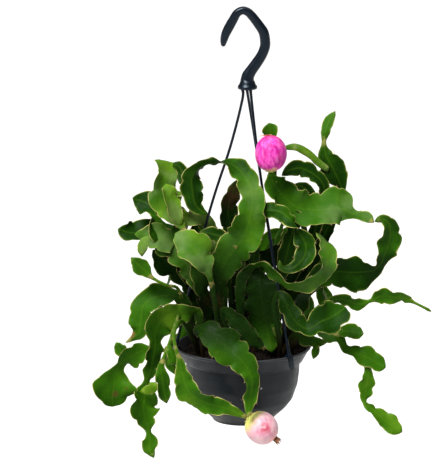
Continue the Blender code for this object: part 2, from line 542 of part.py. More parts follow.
# The stems. Each has a foot on the soil (x, y), the rows of its main blade, and its side branches,
# which start inside the blade that they grow from.
STEMS = {
    "stem_loop": {
        "foot": (-14, -18),
        "main": [
            (-22, 30, -32, 4.5, 0), (-29, 60, -42, 8.5, 0), (-25, 80, -49, 13, 0),
            (-14, 99, -56, 18.5, 0), (0, 118, -66, 20, 0), (7, 138, -74, 18, 0),
            (10, 158, -76, 14, 0), (6, 176, -74, 13, 5), (-4, 190, -70, 12, 20),
            (-17, 198, -66, 10, 60), (-33, 199, -62, 8.5, 95), (-48, 194, -60, 10, 130),
            (-56, 182, -58, 12.5, 165), (-55, 167, -56, 12.5, 180), (-52, 154, -54, 9.5, 180),
            (-45, 146, -52, 5, 170), (-38, 143, -50, 1.5, 160),
        ],
        "branches": [
            [(-5, 107, -61, 3, 0), (-16, 114, -57, 4.5, 0), (-25, 119, -53, 8, 10),
             (-35, 122, -50, 8, 10), (-47, 124, -47, 1.5, 0)],
        ],
    },
    "stem_pale_left": {
        "swing": 30,
        "foot": (-36, -8),
        "main": [
            (-40, 30, -28, 6.5, 0), (-47, 70, -46, 8.5, 0), (-57, 105, -53, 5.5, 0),
            (-65, 127, -54, 3.4, 0), (-75, 141, -55, 11, 0), (-85, 156, -54, 16.5, 0),
            (-86, 172, -50, 15, -10), (-84, 182, -46, 11, -15), (-83, 191, -40, 14, -10),
            (-82, 201, -34, 16, 0),
        ],
        "branches": [
            [(-76, 197, -36, 3, 0), (-69, 195, -39, 5.5, 0), (-66, 186, -42, 6.5, 0),
             (-69, 176, -46, 2, 0)],
            [(-68, 132, -55, 2.6, 0), (-73, 142, -61, 7, 0), (-78, 155, -63, 10, 0),
             (-81, 167, -60, 9, 0), (-84, 176, -55, 2, 0)],
        ],
    },
    "stem_broad_left": {
        "swing": 22,
        "foot": (-44, 4),
        "main": [
            (-41, 30, -15, 6, 0), (-47, 60, -32, 8.5, 0), (-59, 86, -40, 14, 0),
            (-72, 105, -42, 18, 0), (-86, 119, -42, 19, 5), (-93, 131, -39, 15, 10),
            (-96, 141, -33, 6, 10), (-98, 149, -29, 13, 0), (-107, 156, -25, 13, -10),
            (-121, 161, -21, 3, -10),
        ],
        "branches": [
            [(-76, 108, -44, 12, 0), (-86, 115, -46, 16, 0), (-97, 119, -47, 14, 0),
             (-107, 121, -47, 8, 0), (-118, 121, -46, 2, 0)],
            [(-101, 118, -47, 3, 0), (-107, 113, -49, 5, 0), (-110, 105, -50, 5.5, 0),
             (-110, 97, -49, 1.5, 0)],
        ],
    },
    "stem_point_left": {
        "swing": 30,
        "foot": (-38, 16),
        "main": [
            (-50, 50, 4, 9, 0), (-72, 95, -6, 8, 0), (-90, 119, -10, 8, 0),
            (-104, 128, -14, 11, 0), (-116, 122, -18, 15, 10), (-127, 123, -20, 11, 10),
            (-137, 127, -22, 3, 0),
        ],
    },
    "stem_rolled": {
        "foot": (-22, 4),
        "main": [
            (-24, 50, -10, 8.5, 0), (-28, 95, -20, 8.5, 0), (-33, 122, -23, 7, 20),
            (-43, 137, -28, 8, 30), (-56, 138, -36, 8.5, 20), (-66, 142, -42, 9, -20),
            (-68, 152, -42, 4, -50),
        ],
    },
    "stem_bright": {
        "swing": 18,
        "foot": (-28, -26),
        "main": [
            (-28, 25, -47, 3.0, 0), (-32, 56, -60, 3.2, 0), (-37, 78, -67, 4, 0),
            (-43, 90, -71, 14, 5), (-51, 102, -71, 19, 5), (-61, 112, -67, 16, 8),
            (-69, 119, -63, 9, 10), (-74, 122, -60, 2.5, 10),
        ],
    },
    "stem_russet": {
        "swing": 25,
        "foot": (-4, 14),
        "main": [
            (-6, 60, -4, 8, 0), (-9, 105, -16, 9, 0), (-15, 132, -26, 11, 15),
            (-17, 150, -34, 12, 15), (-11, 168, -40, 7, 0), (-6, 181, -42, 1.5, 0),
        ],
    },
    "stem_low_left": {
        "swing": 25,
        "foot": (-50, -10),
        "main": [
            (-57, 25, -27, 4.5, 0), (-64, 44, -36, 8, 0), (-76, 53, -36, 11.5, 10),
            (-96, 52, -39, 13, 5), (-109, 42, -40, 13, 0), (-111, 27, -40, 12.5, -5),
            (-113, 15, -39, 9, -5), (-120, 8, -37, 3.5, 0), (-128, 3, -36, 1.5, 0),
        ],
        "branches": [
            [(-66, 49, -34, 2.2, 0), (-72, 63, -43, 1.8, 0), (-84, 66, -50, 1.8, 0),
             (-99, 74, -54, 2.2, 0), (-106, 81, -56, 7, 0), (-113, 87, -58, 9, 5),
             (-122, 96, -58, 1.5, 0)],
        ],
    },
    "stem_trailing_left": {
        "swing": -28,
        "foot": (-44, -28),
        "main": [
            (-46, 20, -42, 3.6, 0), (-50, 37, -50, 6, 0), (-64, 36, -56, 9, 0),
            (-79, 32, -58, 15, 0), (-90, 26, -58, 17, 0), (-96, 14, -56, 12, 0),
            (-96, 4, -56, 6.5, 0), (-97, -6, -56, 11.5, 5), (-99, -17, -54, 9.5, 5),
            (-102, -29, -52, 7, 0), (-105, -38, -50, 3.4, 0), (-106, -47, -50, 9, 0),
            (-108, -59, -52, 16, 0), (-109, -70, -54, 17, -5), (-105, -84, -52, 8.5, 0),
            (-103, -94, -50, 3, 10), (-101, -103, -50, 8, 20), (-102, -112, -50, 6.5, 20),
            (-97, -122, -48, 1.5, 0),
        ],
        "branches": [
            [(-101, -3, -57, 3, 0), (-110, -5, -60, 8, 0), (-121, -10, -62, 13.5, 0),
             (-130, -15, -62, 10, 0), (-136, -23, -60, 6.5, 0), (-139, -33, -60, 14, 0),
             (-141, -44, -61, 22.5, 5), (-142, -56, -61, 17, 5), (-142, -66, -60, 8.5, 0)],
            [(-126, -10, -61.5, 3, 0), (-133, -4, -63, 6.5, 0), (-138, 4, -64, 3, 0)],
            [(-70, 34, -58, 2, 0), (-74, 22, -64, 2.2, 0), (-79, 6, -68, 1.9, 0),
             (-85, -10, -70, 2, 0), (-89, -22, -70, 4, 0), (-88, -36, -70, 8, 0),
             (-86, -50, -68, 8, 0), (-83, -62, -66, 1.5, 0)],
            [(-81, 1, -69.2, 1.6, 0), (-79, -6, -71, 5, 0), (-77, -14, -72, 5.5, 0),
             (-82, -20, -72, 1.5, 0)],
            [(-102, -42, -51, 2.2, 0), (-96, -42, -56, 3, 0), (-98, -46, -60, 5, 0),
             (-105, -48, -61, 5, 0), (-112, -50, -60, 1.5, 0)],
        ],
    },
    "stem_front_low": {
        "swing": 25,
        "foot": (-48, -20),
        "main": [
            (-58, 14, -44, 2.8, 0), (-68, 27, -64, 2.2, 0), (-75, 14, -75, 2.0, 0),
            (-73, -2, -78, 2.0, 0), (-69, -14, -76, 3.5, 0), (-65, -32, -72, 9, 0),
            (-57, -51, -68, 14, 0), (-40, -61, -66, 11.5, 0), (-19, -67, -64, 7.5, 0),
            (-3, -74, -60, 3.6, 0), (4.6, -78.4, -58, 2.4, 0),
        ],
    },
    "stem_front_broad": {
        "swing": -18,
        "foot": (-26, -40),
        "main": [
            (-38, 6, -54, 3.4, 0), (-49, 15, -64, 6, 0), (-41, 17, -74, 11, 0),
            (-30, 9, -80, 16, 0), (-17, -2, -84, 20.5, 0), (-4, -13, -88, 15, 0),
            (6, -27, -88, 10.5, 0), (9, -41, -86, 9.5, 0), (7, -54, -82, 8.2, 0),
            (6, -66, -79, 5, 0), (5, -77, -78, 1.5, 0),
        ],
    },
    "stem_narrow": {
        "swing": 18,
        "foot": (-10, -34),
        "main": [
            (-18, 22, -52, 3.2, 0), (-21, 37, -60, 5, 0), (-11, 31, -68, 9, 0),
            (2, 17, -70, 9.5, 0), (14, 5, -68, 7, 0), (23, -4, -64, 1.5, 0),
        ],
    },
    "stem_centre": {
        "swing": 12,
        "foot": (12, -14),
        "main": [
            (15, 40, -17, 6, 0), (15, 66, -23, 9, 0), (17, 80, -31, 11, 0),
            (18, 76, -42, 16, 0), (19, 60, -47, 20.5, 0), (22, 39, -45, 20.5, 0),
            (25, 21, -39, 18.5, 0), (29, 6, -37, 11, 0), (31, -4, -37, 5, 0),
            (32, -8, -37, 1.5, 0),
        ],
        "branches": [[(34, 24, -40, 4, 0), (38, 14, -40, 4.8, 0), (39.5, 6, -39.5, 1.5, 0)]],
    },
    "stem_big_right": {
        "swing": -22,
        "foot": (30, -4),
        "main": [
            (36, 50, -22, 6, 0), (47, 95, -38, 9, 0), (55, 128, -51, 9, 0),
            (57, 148, -58, 8, 0),
        ],
        "branches": [
            [(29.6, 187.6, -84, 2.6, 0), (31, 179, -76, 10, 0), (40, 166, -62, 17, 0),
             (57, 151, -57, 18.5, 0), (80, 147, -55, 20, 0), (98, 149, -54, 21, -5),
             (109, 148, -53, 19, -5), (117, 144, -52, 9, -5), (124, 142, -52, 5, 0),
             (134, 140, -54, 6.5, 0), (142, 134, -58, 1.5, 0)],
            [(33, 178, -73, 3, 0), (33, 192, -63, 3.4, 0), (32, 208, -60, 3.6, 0),
             (31, 223, -62, 5.5, 0), (30, 230, -64, 8.5, 0), (29, 237, -65, 8, 0),
             (28, 242, -65, 3.5, 0)],
        ],
    },
    "stem_ring_right": {
        "swing": 32,
        "foot": (46, 6),
        "main": [
            (60, 40, -8, 8, 0), (74, 66, -20, 10, 0), (90, 80, -26, 13, 0),
            (104, 81, -28, 17, 0), (120, 80, -30, 18, 0), (133, 81, -32, 17, 0),
            (143, 83, -33, 10, 0), (150, 90, -34, 8, 0), (154, 100, -36, 10, 0),
            (158, 111, -38, 11.5, 0), (160, 123, -41, 11.5, 0), (158, 133, -45, 7.5, 0),
            (151, 138, -48, 5, -20), (143, 135, -50, 2, -30),
        ],
    },
    "stem_curve": {
        "foot": (10, 2),
        "main": [
            (12, 60, -16, 5, 150), (12, 105, -34, 6.5, 170), (12, 131, -57, 6, 180),
            (22, 146, -73, 8.5, 180), (40, 145, -79, 9, 165), (52, 135, -82, 9.5, 120),
            (62, 122, -82, 10, 50), (68, 107, -81, 12, 5), (63, 93, -83, 10, 0),
            (52, 84, -85, 6, 10), (41, 85, -84, 4, 20), (39, 93, -82, 1.5, 20),
        ],
    },
    "stem_bowl": {
        "foot": (-2, -27),
        "main": [
            (-3, 38, -48, 4.5, 0), (-3, 66, -61, 6, 0), (4, 83, -71, 7, 30),
            (18, 90, -80, 8.5, 60), (32, 81, -88, 9, 65), (45, 69, -90, 9, 65),
            (61, 66, -90, 9.5, 52), (76, 71, -86, 11, 42), (87, 82, -79, 12.5, 35),
            (91, 95, -71, 11.5, 35), (89, 108, -65, 9, 50), (83, 118, -62, 5, 60),
            (79, 123, -61, 2, 60),
        ],
    },
    "stem_smile": {
        "swing": -18,
        "foot": (41, -33),
        "main": [
            (38, 14, -58, 3.0, 0), (34, 40, -66, 3.4, 0), (37, 55, -71, 4, 0),
            (43, 52, -77, 7.5, 0), (48, 40, -81, 10.5, 0), (56, 27, -84, 11, 0),
            (69, 19, -85, 9.5, 0), (84, 27, -85, 15, 0), (96, 32, -83, 17.5, 0),
            (105, 38, -80, 14, 0), (111, 42, -76, 5, 0),
        ],
    },
    "stem_rim_right": {
        "swing": 20,
        "foot": (43, -26),
        "main": [
            (50, 4, -36, 3.0, 0), (58, 12, -48, 4, 0), (68, 7, -60, 7, 0),
            (80, 4, -62, 5.5, 0), (91, 4, -60, 1.5, 0),
        ],
        "branches": [
            [(76, 4, -62, 2, 0), (79, 0, -64, 3.5, 0), (78, -7, -64, 4.5, 0),
             (76, -14, -62, 1.5, 0)],
        ],
    },
    "stem_arch_right": {
        "foot": (32, 8),
        "main": [
            (46, 60, -8, 7.5, 0), (72, 110, -18, 7, 0), (87, 148, -32, 6.5, 0),
            (89, 168, -38, 7, 0), (84, 180, -43, 8, 15), (74, 188, -46, 9.5, 20),
            (62, 193, -48, 9.5, 20), (51, 191, -49, 7, 10), (42, 185, -49, 1.5, 0),
        ],
        "branches": [
            [(86, 150, -33, 2.5, 0), (76, 161, -39, 6, 0), (67, 171, -42, 7, 0),
             (56, 176, -44, 2, 0)],
        ],
    },
    "stem_upright_right": {
        "swing": -35,
        "foot": (44, 22),
        "main": [
            (64, 60, 8, 9, 0), (86, 110, 0, 9, 0), (102, 148, -12, 6, 0),
            (109, 169, -18, 5.5, 0), (105, 181, -21, 10.5, 0), (98, 195, -23, 13, 0),
            (90, 209, -24, 7, 30), (88.5, 221, -24, 2.6, 60), (90, 232, -22, 4.8, 20),
            (94.5, 245, -20, 5.6, 0), (101, 256, -18, 1.5, 0),
        ],
        "branches": [
            [(93, 192, -23, 3, 0), (83, 199, -28, 4.2, 25), (70, 210, -37, 4.4, 38),
             (57, 216, -44, 4.4, 38), (43, 215, -50, 1.8, 30)],
        ],
    },
    "stem_trailing_right": {
        "swing": 38,
        "foot": (52, -6),
        "main": [
            (66, 24, -22, 3.0, 0), (88, 44, -34, 4, 0), (102, 51, -38, 5, 0),
            (113, 50, -40, 6.5, 0), (125, 46, -42, 7, 0), (138, 48.5, -44, 2, 0),
            (149, 54, -46, 7, 0), (164, 54, -46, 7, 0), (177, 52, -46, 6.5, 0),
            (184, 48, -46, 2.2, 0), (198, 41, -44, 1.6, 0), (205, 37, -44, 2.4, 0),
        ],
    },
    "stem_low_right": {
        "swing": -30,
        "foot": (50, -20),
        "main": [
            (66, 16, -30, 3.0, 0), (80, 18, -40, 4, 0), (92, 12, -46, 8, 0),
            (103, 8, -48, 6, 0), (112, -4, -48, 6, 0), (121, -8, -50, 9, 0),
            (134, -13, -50, 10, 0), (147, -20, -50, 8.5, 0), (155, -24, -50, 4, 0),
        ],
        "branches": [
            [(99, 11, -47, 2, 0), (108, 15, -50, 5.5, 0), (116, 15, -51, 8, 0),
             (124, 14, -52, 8, 0), (131, 13, -52, 3, 0)],
            [(133, -17, -50, 3, 0), (136, -28, -50, 4.5, 0), (134, -42, -50, 8.5, 0),
             (132, -54, -50, 6, 0), (132, -62, -50, 2.4, 0), (139, -69, -50, 6, 0),
             (150, -78, -50, 8, 0), (163, -88, -50, 8.5, 0), (173, -94, -50, 3.5, 0)],
        ],
    },
    # The dark leaves between the front and the far side
    "stem_inner": {
        "swing": 25,
        "foot": (4, 32),
        "main": [
            (6, 20, 26, 8, 0), (8, 50, 14, 11, 0), (5, 72, 6, 11, 0), (9, 87, 0, 12, 0),
            (22, 95, -4, 12, 0),
            (38, 98, -5, 13, 0), (51, 104, -6, 12, 0), (57, 116, -6, 7, 0),
            (56, 126, -6, 1.5, 0),
        ],
    },
    "stem_inner_left": {
        "swing": -20,
        "foot": (-26, 30),
        "main": [
            (-30, 24, 25, 7, 0), (-38, 42, 20, 10, 0), (-56, 66, 14, 11, 0), (-68, 80, 10, 14, 0),
            (-82, 90, 6, 15, 0), (-93, 98, 2, 10, 0), (-99, 104, 0, 1.5, 0),
        ],
    },
    # High stems that face the sides
    "stem_high_right": {
        "view": 100,
        "foot": (24, 28),
        "main": [
            (22, 50, -44, 3.0, 0), (22, 92, -62, 5, 0), (17, 118, -74, 10, 0),
            (7, 132, -84, 14, 0), (-6, 125, -90, 14, 0), (-15, 109, -90, 12, 0),
            (-18, 94, -88, 7, 0), (-25, 84, -84, 1.5, 0),
        ],
    },
    "stem_high_left": {
        "view": 260,
        "foot": (-26, 22),
        "main": [
            (-16, 50, -44, 3.0, 0), (-18, 92, -60, 5, 0), (-18, 114, -72, 8.5, 0),
            (-11, 128, -82, 10, 0), (3, 124, -87, 11, 0), (11, 108, -88, 10, 0),
            (12, 92, -87, 1.5, 0),
        ],
    },
    # The far side of the plant
    "stem_back_broad": {
        "view": 180,
        "foot": (-8, 38),
        "main": [
            (10, 24, -49, 6, 0), (13, 55, -62, 9, 0), (22, 80, -78, 12, 0),
            (34, 78, -92, 15, 0), (44, 58, -100, 15, 0), (48, 34, -102, 12, 0),
            (46, 12, -100, 8, 0), (50, -6, -100, 12, 0), (54, -28, -98, 10, 0),
            (50, -48, -96, 1.5, 0),
        ],
    },
    "stem_back_arch": {
        "view": 180,
        "foot": (20, 34),
        "main": [
            (-17, 24, -52, 6, 0), (-18, 58, -68, 8, 0), (-30, 86, -84, 11, 0),
            (-48, 86, -92, 13.5, 0), (-66, 76, -92, 13, 0), (-78, 58, -88, 11, 0),
            (-84, 40, -82, 7, 0), (-91, 22, -78, 9, 0), (-96, 6, -76, 8, 0),
            (-98, -8, -74, 1.5, 0),
        ],
    },
    "stem_back_trailing_left": {
        "view": 180,
        "foot": (-26, 44),
        "main": [
            (30, 14, -60, 3.0, 0), (40, 26, -74, 5, 0), (49, 20, -86, 10, 0),
            (56, 4, -92, 13, 0), (62, -14, -93, 12, 0), (66, -32, -91, 7, 0),
            (74, -46, -89, 10, 0), (80, -64, -87, 10, 0), (76, -80, -85, 1.5, 0),
        ],
    },
    "stem_back_trailing_right": {
        "view": 180,
        "foot": (42, 31),
        "main": [
            (-50, 18, -54, 3.0, 0), (-56, 30, -70, 5, 0), (-62, 26, -84, 11, 0),
            (-68, 10, -92, 13, 0), (-68, -8, -93, 11, 0), (-62, -26, -91, 7, 0),
            (-54, -44, -90, 10, 0), (-46, -62, -88, 10, 0), (-48, -78, -86, 1.5, 0),
        ],
    },
    "stem_far_left": {
        "view": 225,
        "foot": (-16, 38),
        "main": [
            (-11, 30, -46, 3.0, 0), (-13, 64, -60, 5, 0), (-9, 88, -72, 10, 0),
            (1, 101, -84, 13.5, 0), (10, 95, -94, 13.5, 0), (13, 79, -98, 10, 0),
            (12, 65, -97, 1.5, 0),
        ],
    },
    "stem_side_right": {
        "view": 90,
        "foot": (38, 36),
        "main": [
            (36, 26, -50, 3.0, 0), (37, 50, -60, 5, 0), (41, 64, -71, 8.5, 0),
            (48, 62, -84, 9.5, 0), (54, 46, -93, 12, 0), (55, 27, -97, 8, 0),
            (51, 8, -97, 11, 0), (52, -10, -95, 10, 0), (56, -26, -92, 1.5, 0),
        ],
    },
    "stem_side_left": {
        "view": 270,
        "foot": (-40, 34),
        "main": [
            (-36, 26, -54, 3.0, 0), (-42, 48, -66, 5, 0), (-48, 56, -76, 11, 0),
            (-56, 50, -88, 13, 0), (-60, 34, -93, 12, 0), (-62, 16, -94, 8, 0),
            (-64, -2, -94, 11, 0), (-62, -22, -94, 12, 0), (-58, -42, -92, 7, 0),
            (-60, -58, -90, 9, 0), (-64, -74, -88, 1.5, 0),
        ],
    },
}


def leafy_stem(name, plan):
    view = plan.get("view", 0.0)
    swing = plan.get("swing", 0.0)
    trunk = blade(name, plan["main"], view, swing, foot=plan["foot"])
    arms = []
    for k, rows in enumerate(plan.get("branches", [])):
        arms.append(blade(f"{name}_arm_{k}", rows, view, swing, start=k + 1))
    if arms:
        apply_boolean(trunk, arms, "UNION")
    smooth(trunk, 50.0)


# The fruits: a turned egg shape laid along its axis
def fruit(name, centre, axis, length, girth, surface, sides=16, rings=9):
    axis = axis.normalized()
    side = axis.orthogonal().normalized()
    other = axis.cross(side)
    points = []
    faces = []
    for k in range(rings):
        turn = math.pi * (k + 0.5) / rings
        radius = girth / 2 * math.sin(turn) ** 0.85
        along = -length / 2 * math.cos(turn)
        for j in range(sides):
            angle = 2 * math.pi * j / sides
            spoke = side * math.cos(angle) + other * math.sin(angle)
            points.append(centre + axis * along + spoke * radius)
    for k in range(rings - 1):
        for j in range(sides):
            a = k * sides + j
            b = k * sides + (j + 1) % sides
            faces.append((a, b, b + sides, a + sides))
    faces.append(tuple(range(sides)))
    faces.append(tuple((rings - 1) * sides + j for j in range(sides)))
    return smooth(new_object(name, mesh_from(name, points, faces), surface))


def remnant(name, root, axis, length):
    """The dry flower left on the fruit's end: a ragged tuft that narrows and then frays."""
    axis = axis.normalized()
    side = axis.orthogonal().normalized()
    other = axis.cross(side)
    points = []
    faces = []
    sides = 10
    shape = ((0.0, 2.8, 1.0), (0.4, 2.7, 0.85), (0.75, 3.0, 0.75), (1.0, 3.2, 0.6))
    for share, radius, inner in shape:
        for j in range(sides):
            angle = 2 * math.pi * j / sides
            spoke = side * math.cos(angle) + other * math.sin(angle)
            reach = radius * (inner if j % 2 else 1.0)
            points.append(root + axis * (length * share) + spoke * reach)
    for k in range(len(shape) - 1):
        for j in range(sides):
            a = k * sides + j
            b = k * sides + (j + 1) % sides
            faces.append((a, b, b + sides, a + sides))
    faces.append(tuple(range(sides)))
    faces.append(tuple((len(shape) - 1) * sides + j for j in range(sides)))
    return smooth(new_object(name, mesh_from(name, points, faces), DRY_BROWN))


pot()
hook()
for strand_name, (around, strand_top, strand_bow) in STRANDS.items():
    strand(strand_name, around, strand_top, strand_bow)
soil([plan["foot"] for plan in STEMS.values()])
for stem_name, stem_plan in STEMS.items():
    leafy_stem(stem_name, stem_plan)
fruit("fruit_upper", at(29.5, 208.5, -84), UP, 39.0, 34.0, FRUIT_MAGENTA)
LOWER_AXIS = (Vector((17, 0, 0)) + UP * -14).normalized()
LOWER_CENTRE = at(20, -89, -58)
LOWER_LENGTH = 36.5
fruit("fruit_lower", LOWER_CENTRE, LOWER_AXIS, LOWER_LENGTH, 35.0, FRUIT_PALE)
remnant("fruit_lower_remnant", LOWER_CENTRE + LOWER_AXIS * (LOWER_LENGTH / 2 + 0.1), LOWER_AXIS, 8.0)
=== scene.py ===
# %% [markdown]
# # A jungle cactus in a hanging pot
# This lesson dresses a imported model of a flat-stemmed jungle cactus. The model gives every solid its
# place and size in metres. The cells below add what the eye sees: waved green stems with pale margins,
# two pink fruits, a moulded pot, its hanger and the bark mix that the plant grows in.

import math
import random

import bmesh
import bpy
import numpy as np
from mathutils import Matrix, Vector


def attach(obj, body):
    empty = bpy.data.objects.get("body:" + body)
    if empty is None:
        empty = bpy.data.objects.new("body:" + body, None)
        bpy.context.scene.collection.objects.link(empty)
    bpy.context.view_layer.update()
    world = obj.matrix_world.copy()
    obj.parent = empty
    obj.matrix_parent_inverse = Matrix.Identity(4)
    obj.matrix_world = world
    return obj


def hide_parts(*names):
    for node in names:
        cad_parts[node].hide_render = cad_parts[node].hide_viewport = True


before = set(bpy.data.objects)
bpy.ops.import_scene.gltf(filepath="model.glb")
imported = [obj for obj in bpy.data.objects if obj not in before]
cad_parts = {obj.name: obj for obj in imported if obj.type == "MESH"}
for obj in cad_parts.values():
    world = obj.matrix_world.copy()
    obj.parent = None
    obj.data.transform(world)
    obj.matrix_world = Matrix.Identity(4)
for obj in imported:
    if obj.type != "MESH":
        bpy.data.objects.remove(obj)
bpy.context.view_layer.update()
MM = 0.001
BODY = "root"
print("nodes in the frame:", len(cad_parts))

# %% [markdown]
# ## The view
# The plant was photographed from a little above, from far away, so its lines hardly converge. A long
# lens a few metres off gives the same look. Places on the front of the plant are easiest to give as
# that viewer sees them: so much to the right, so much up, and so much further back.

# %% Name the directions of the view
VIEW_DOWN = math.radians(12.5)
AWAY = Vector((0.0, math.cos(VIEW_DOWN), -math.sin(VIEW_DOWN)))
UP = Vector((0.0, math.sin(VIEW_DOWN), math.cos(VIEW_DOWN)))
RIM_Z = -367.5
RIM_RADIUS = 75.0


def at(right, up, back, view=0.0):
    """A place in millimetres, seen by a viewer who has walked round the pot by some degrees."""
    place = Vector((right, 0.0, 0.0)) + UP * up + AWAY * back
    turn = math.radians(view)
    x = place.x * math.cos(turn) - place.y * math.sin(turn)
    y = place.x * math.sin(turn) + place.y * math.cos(turn)
    return Vector((x, y, place.z + RIM_Z))


def away_from(view):
    """The way that such a viewer looks."""
    turn = math.radians(view)
    return Vector((-AWAY.y * math.sin(turn), AWAY.y * math.cos(turn), AWAY.z))


print("rim centre in the view:", tuple(round(v, 1) for v in at(0, 0, 0)))

# %% [markdown]
# ## The camera
# The camera looks along the direction that is named above. Its lens follows from how far off it stands
# and from how much of the plant has to fill the picture.

# %% Place the camera
CAMERA_FAR = 4.5
CAMERA_REACH = 60.0
VIEW_CENTRE = (-29.0, 122.6)
VIEW_HEIGHT = 0.5126
SENSOR = 36.0

aim = at(*VIEW_CENTRE, 0.0) * MM
camera_data = bpy.data.cameras.new("camera")
camera_data.sensor_width = SENSOR
camera_data.lens = SENSOR * CAMERA_FAR / VIEW_HEIGHT
camera_data.clip_end = CAMERA_REACH
camera = bpy.data.objects.new("camera", camera_data)
camera.location = aim - AWAY * CAMERA_FAR
camera.rotation_euler = AWAY.to_track_quat("-Z", "Y").to_euler()
bpy.context.scene.collection.objects.link(camera)
bpy.context.scene.camera = camera
print("camera at", tuple(round(v, 2) for v in camera.location))

# %% [markdown]
# ## The floor
# The picture's ground is plain white. A wide pale floor well below the pot gives that from every side.

# %% Lay the floor
FLOOR_Z = -0.72
FLOOR_HALF = 40.0


def new_object(name, mesh):
    """An object of the mesh, linked to the scene."""
    obj = bpy.data.objects.new(name, mesh)
    bpy.context.scene.collection.objects.link(obj)
    return obj


floor_mesh = bpy.data.meshes.new("floor")
floor_mesh.from_pydata(
    [(x * FLOOR_HALF, y * FLOOR_HALF, FLOOR_Z) for x, y in ((-1, -1), (1, -1), (1, 1), (-1, 1))],
    [],
    [(0, 1, 2, 3)],
)
floor = new_object("floor", floor_mesh)
print("floor, metres across:", 2 * FLOOR_HALF)

# %% [markdown]
# ## The light
# One broad sun from the upper left lights floor and plant alike, and soft panels above, beside and
# behind the plant put long, gentle gleams on the waxy stems and the plastic. Small lamps would give
# hard shadows, which the picture doesn't have. A panel's row holds its place and its size in metres,
# and its power in watts.

# %% Hang the lights
SUN_FROM = Vector((-0.55, -0.75, 1.25))
SUN_POWER = 6.9
SUN_SPREAD = math.radians(34)
WORLD_GLOW = 0.08
PANELS = {
    "top_panel": ((0.1, 0.1, 1.3), 1.6, 10.0),
    "left_panel": ((-1.7, -1.3, 0.5), 1.4, 4.5),
    "right_panel": ((1.8, -0.4, 0.1), 1.2, 2.5),
    "back_panel": ((0.7, 1.9, 0.7), 1.4, 5.0),
}
LIT = Vector((0.0, 0.0, -0.27))

sun_data = bpy.data.lights.new("sun", "SUN")
sun_data.energy = SUN_POWER
sun_data.angle = SUN_SPREAD
sun = bpy.data.objects.new("sun", sun_data)
sun.rotation_euler = (-SUN_FROM).to_track_quat("-Z", "Y").to_euler()
bpy.context.scene.collection.objects.link(sun)
for name, (place, size, power) in PANELS.items():
    data = bpy.data.lights.new(name, "AREA")
    data.energy = power
    data.size = size
    panel = bpy.data.objects.new(name, data)
    panel.location = place
    panel.rotation_euler = (LIT - Vector(place)).to_track_quat("-Z", "Y").to_euler()
    bpy.context.scene.collection.objects.link(panel)

world = bpy.data.worlds.new("studio")
world.use_nodes = True
background = world.node_tree.nodes["Background"]
background.inputs["Color"].default_value = (1.0, 1.0, 1.0, 1.0)
background.inputs["Strength"].default_value = WORLD_GLOW
bpy.context.scene.world = world
bpy.context.scene.view_settings.view_transform = "Standard"
print("lights:", 1 + len(PANELS))

# %% [markdown]
# ## Paints
# Every finish here is a small net of nodes. The class below gives the nodes short names, so that a
# finish reads as a recipe: a noise here, a mix there, a ramp between two values. Patterns sit on the
# piece's own coordinates in metres, so a noise of scale 100 has features of about a centimetre.


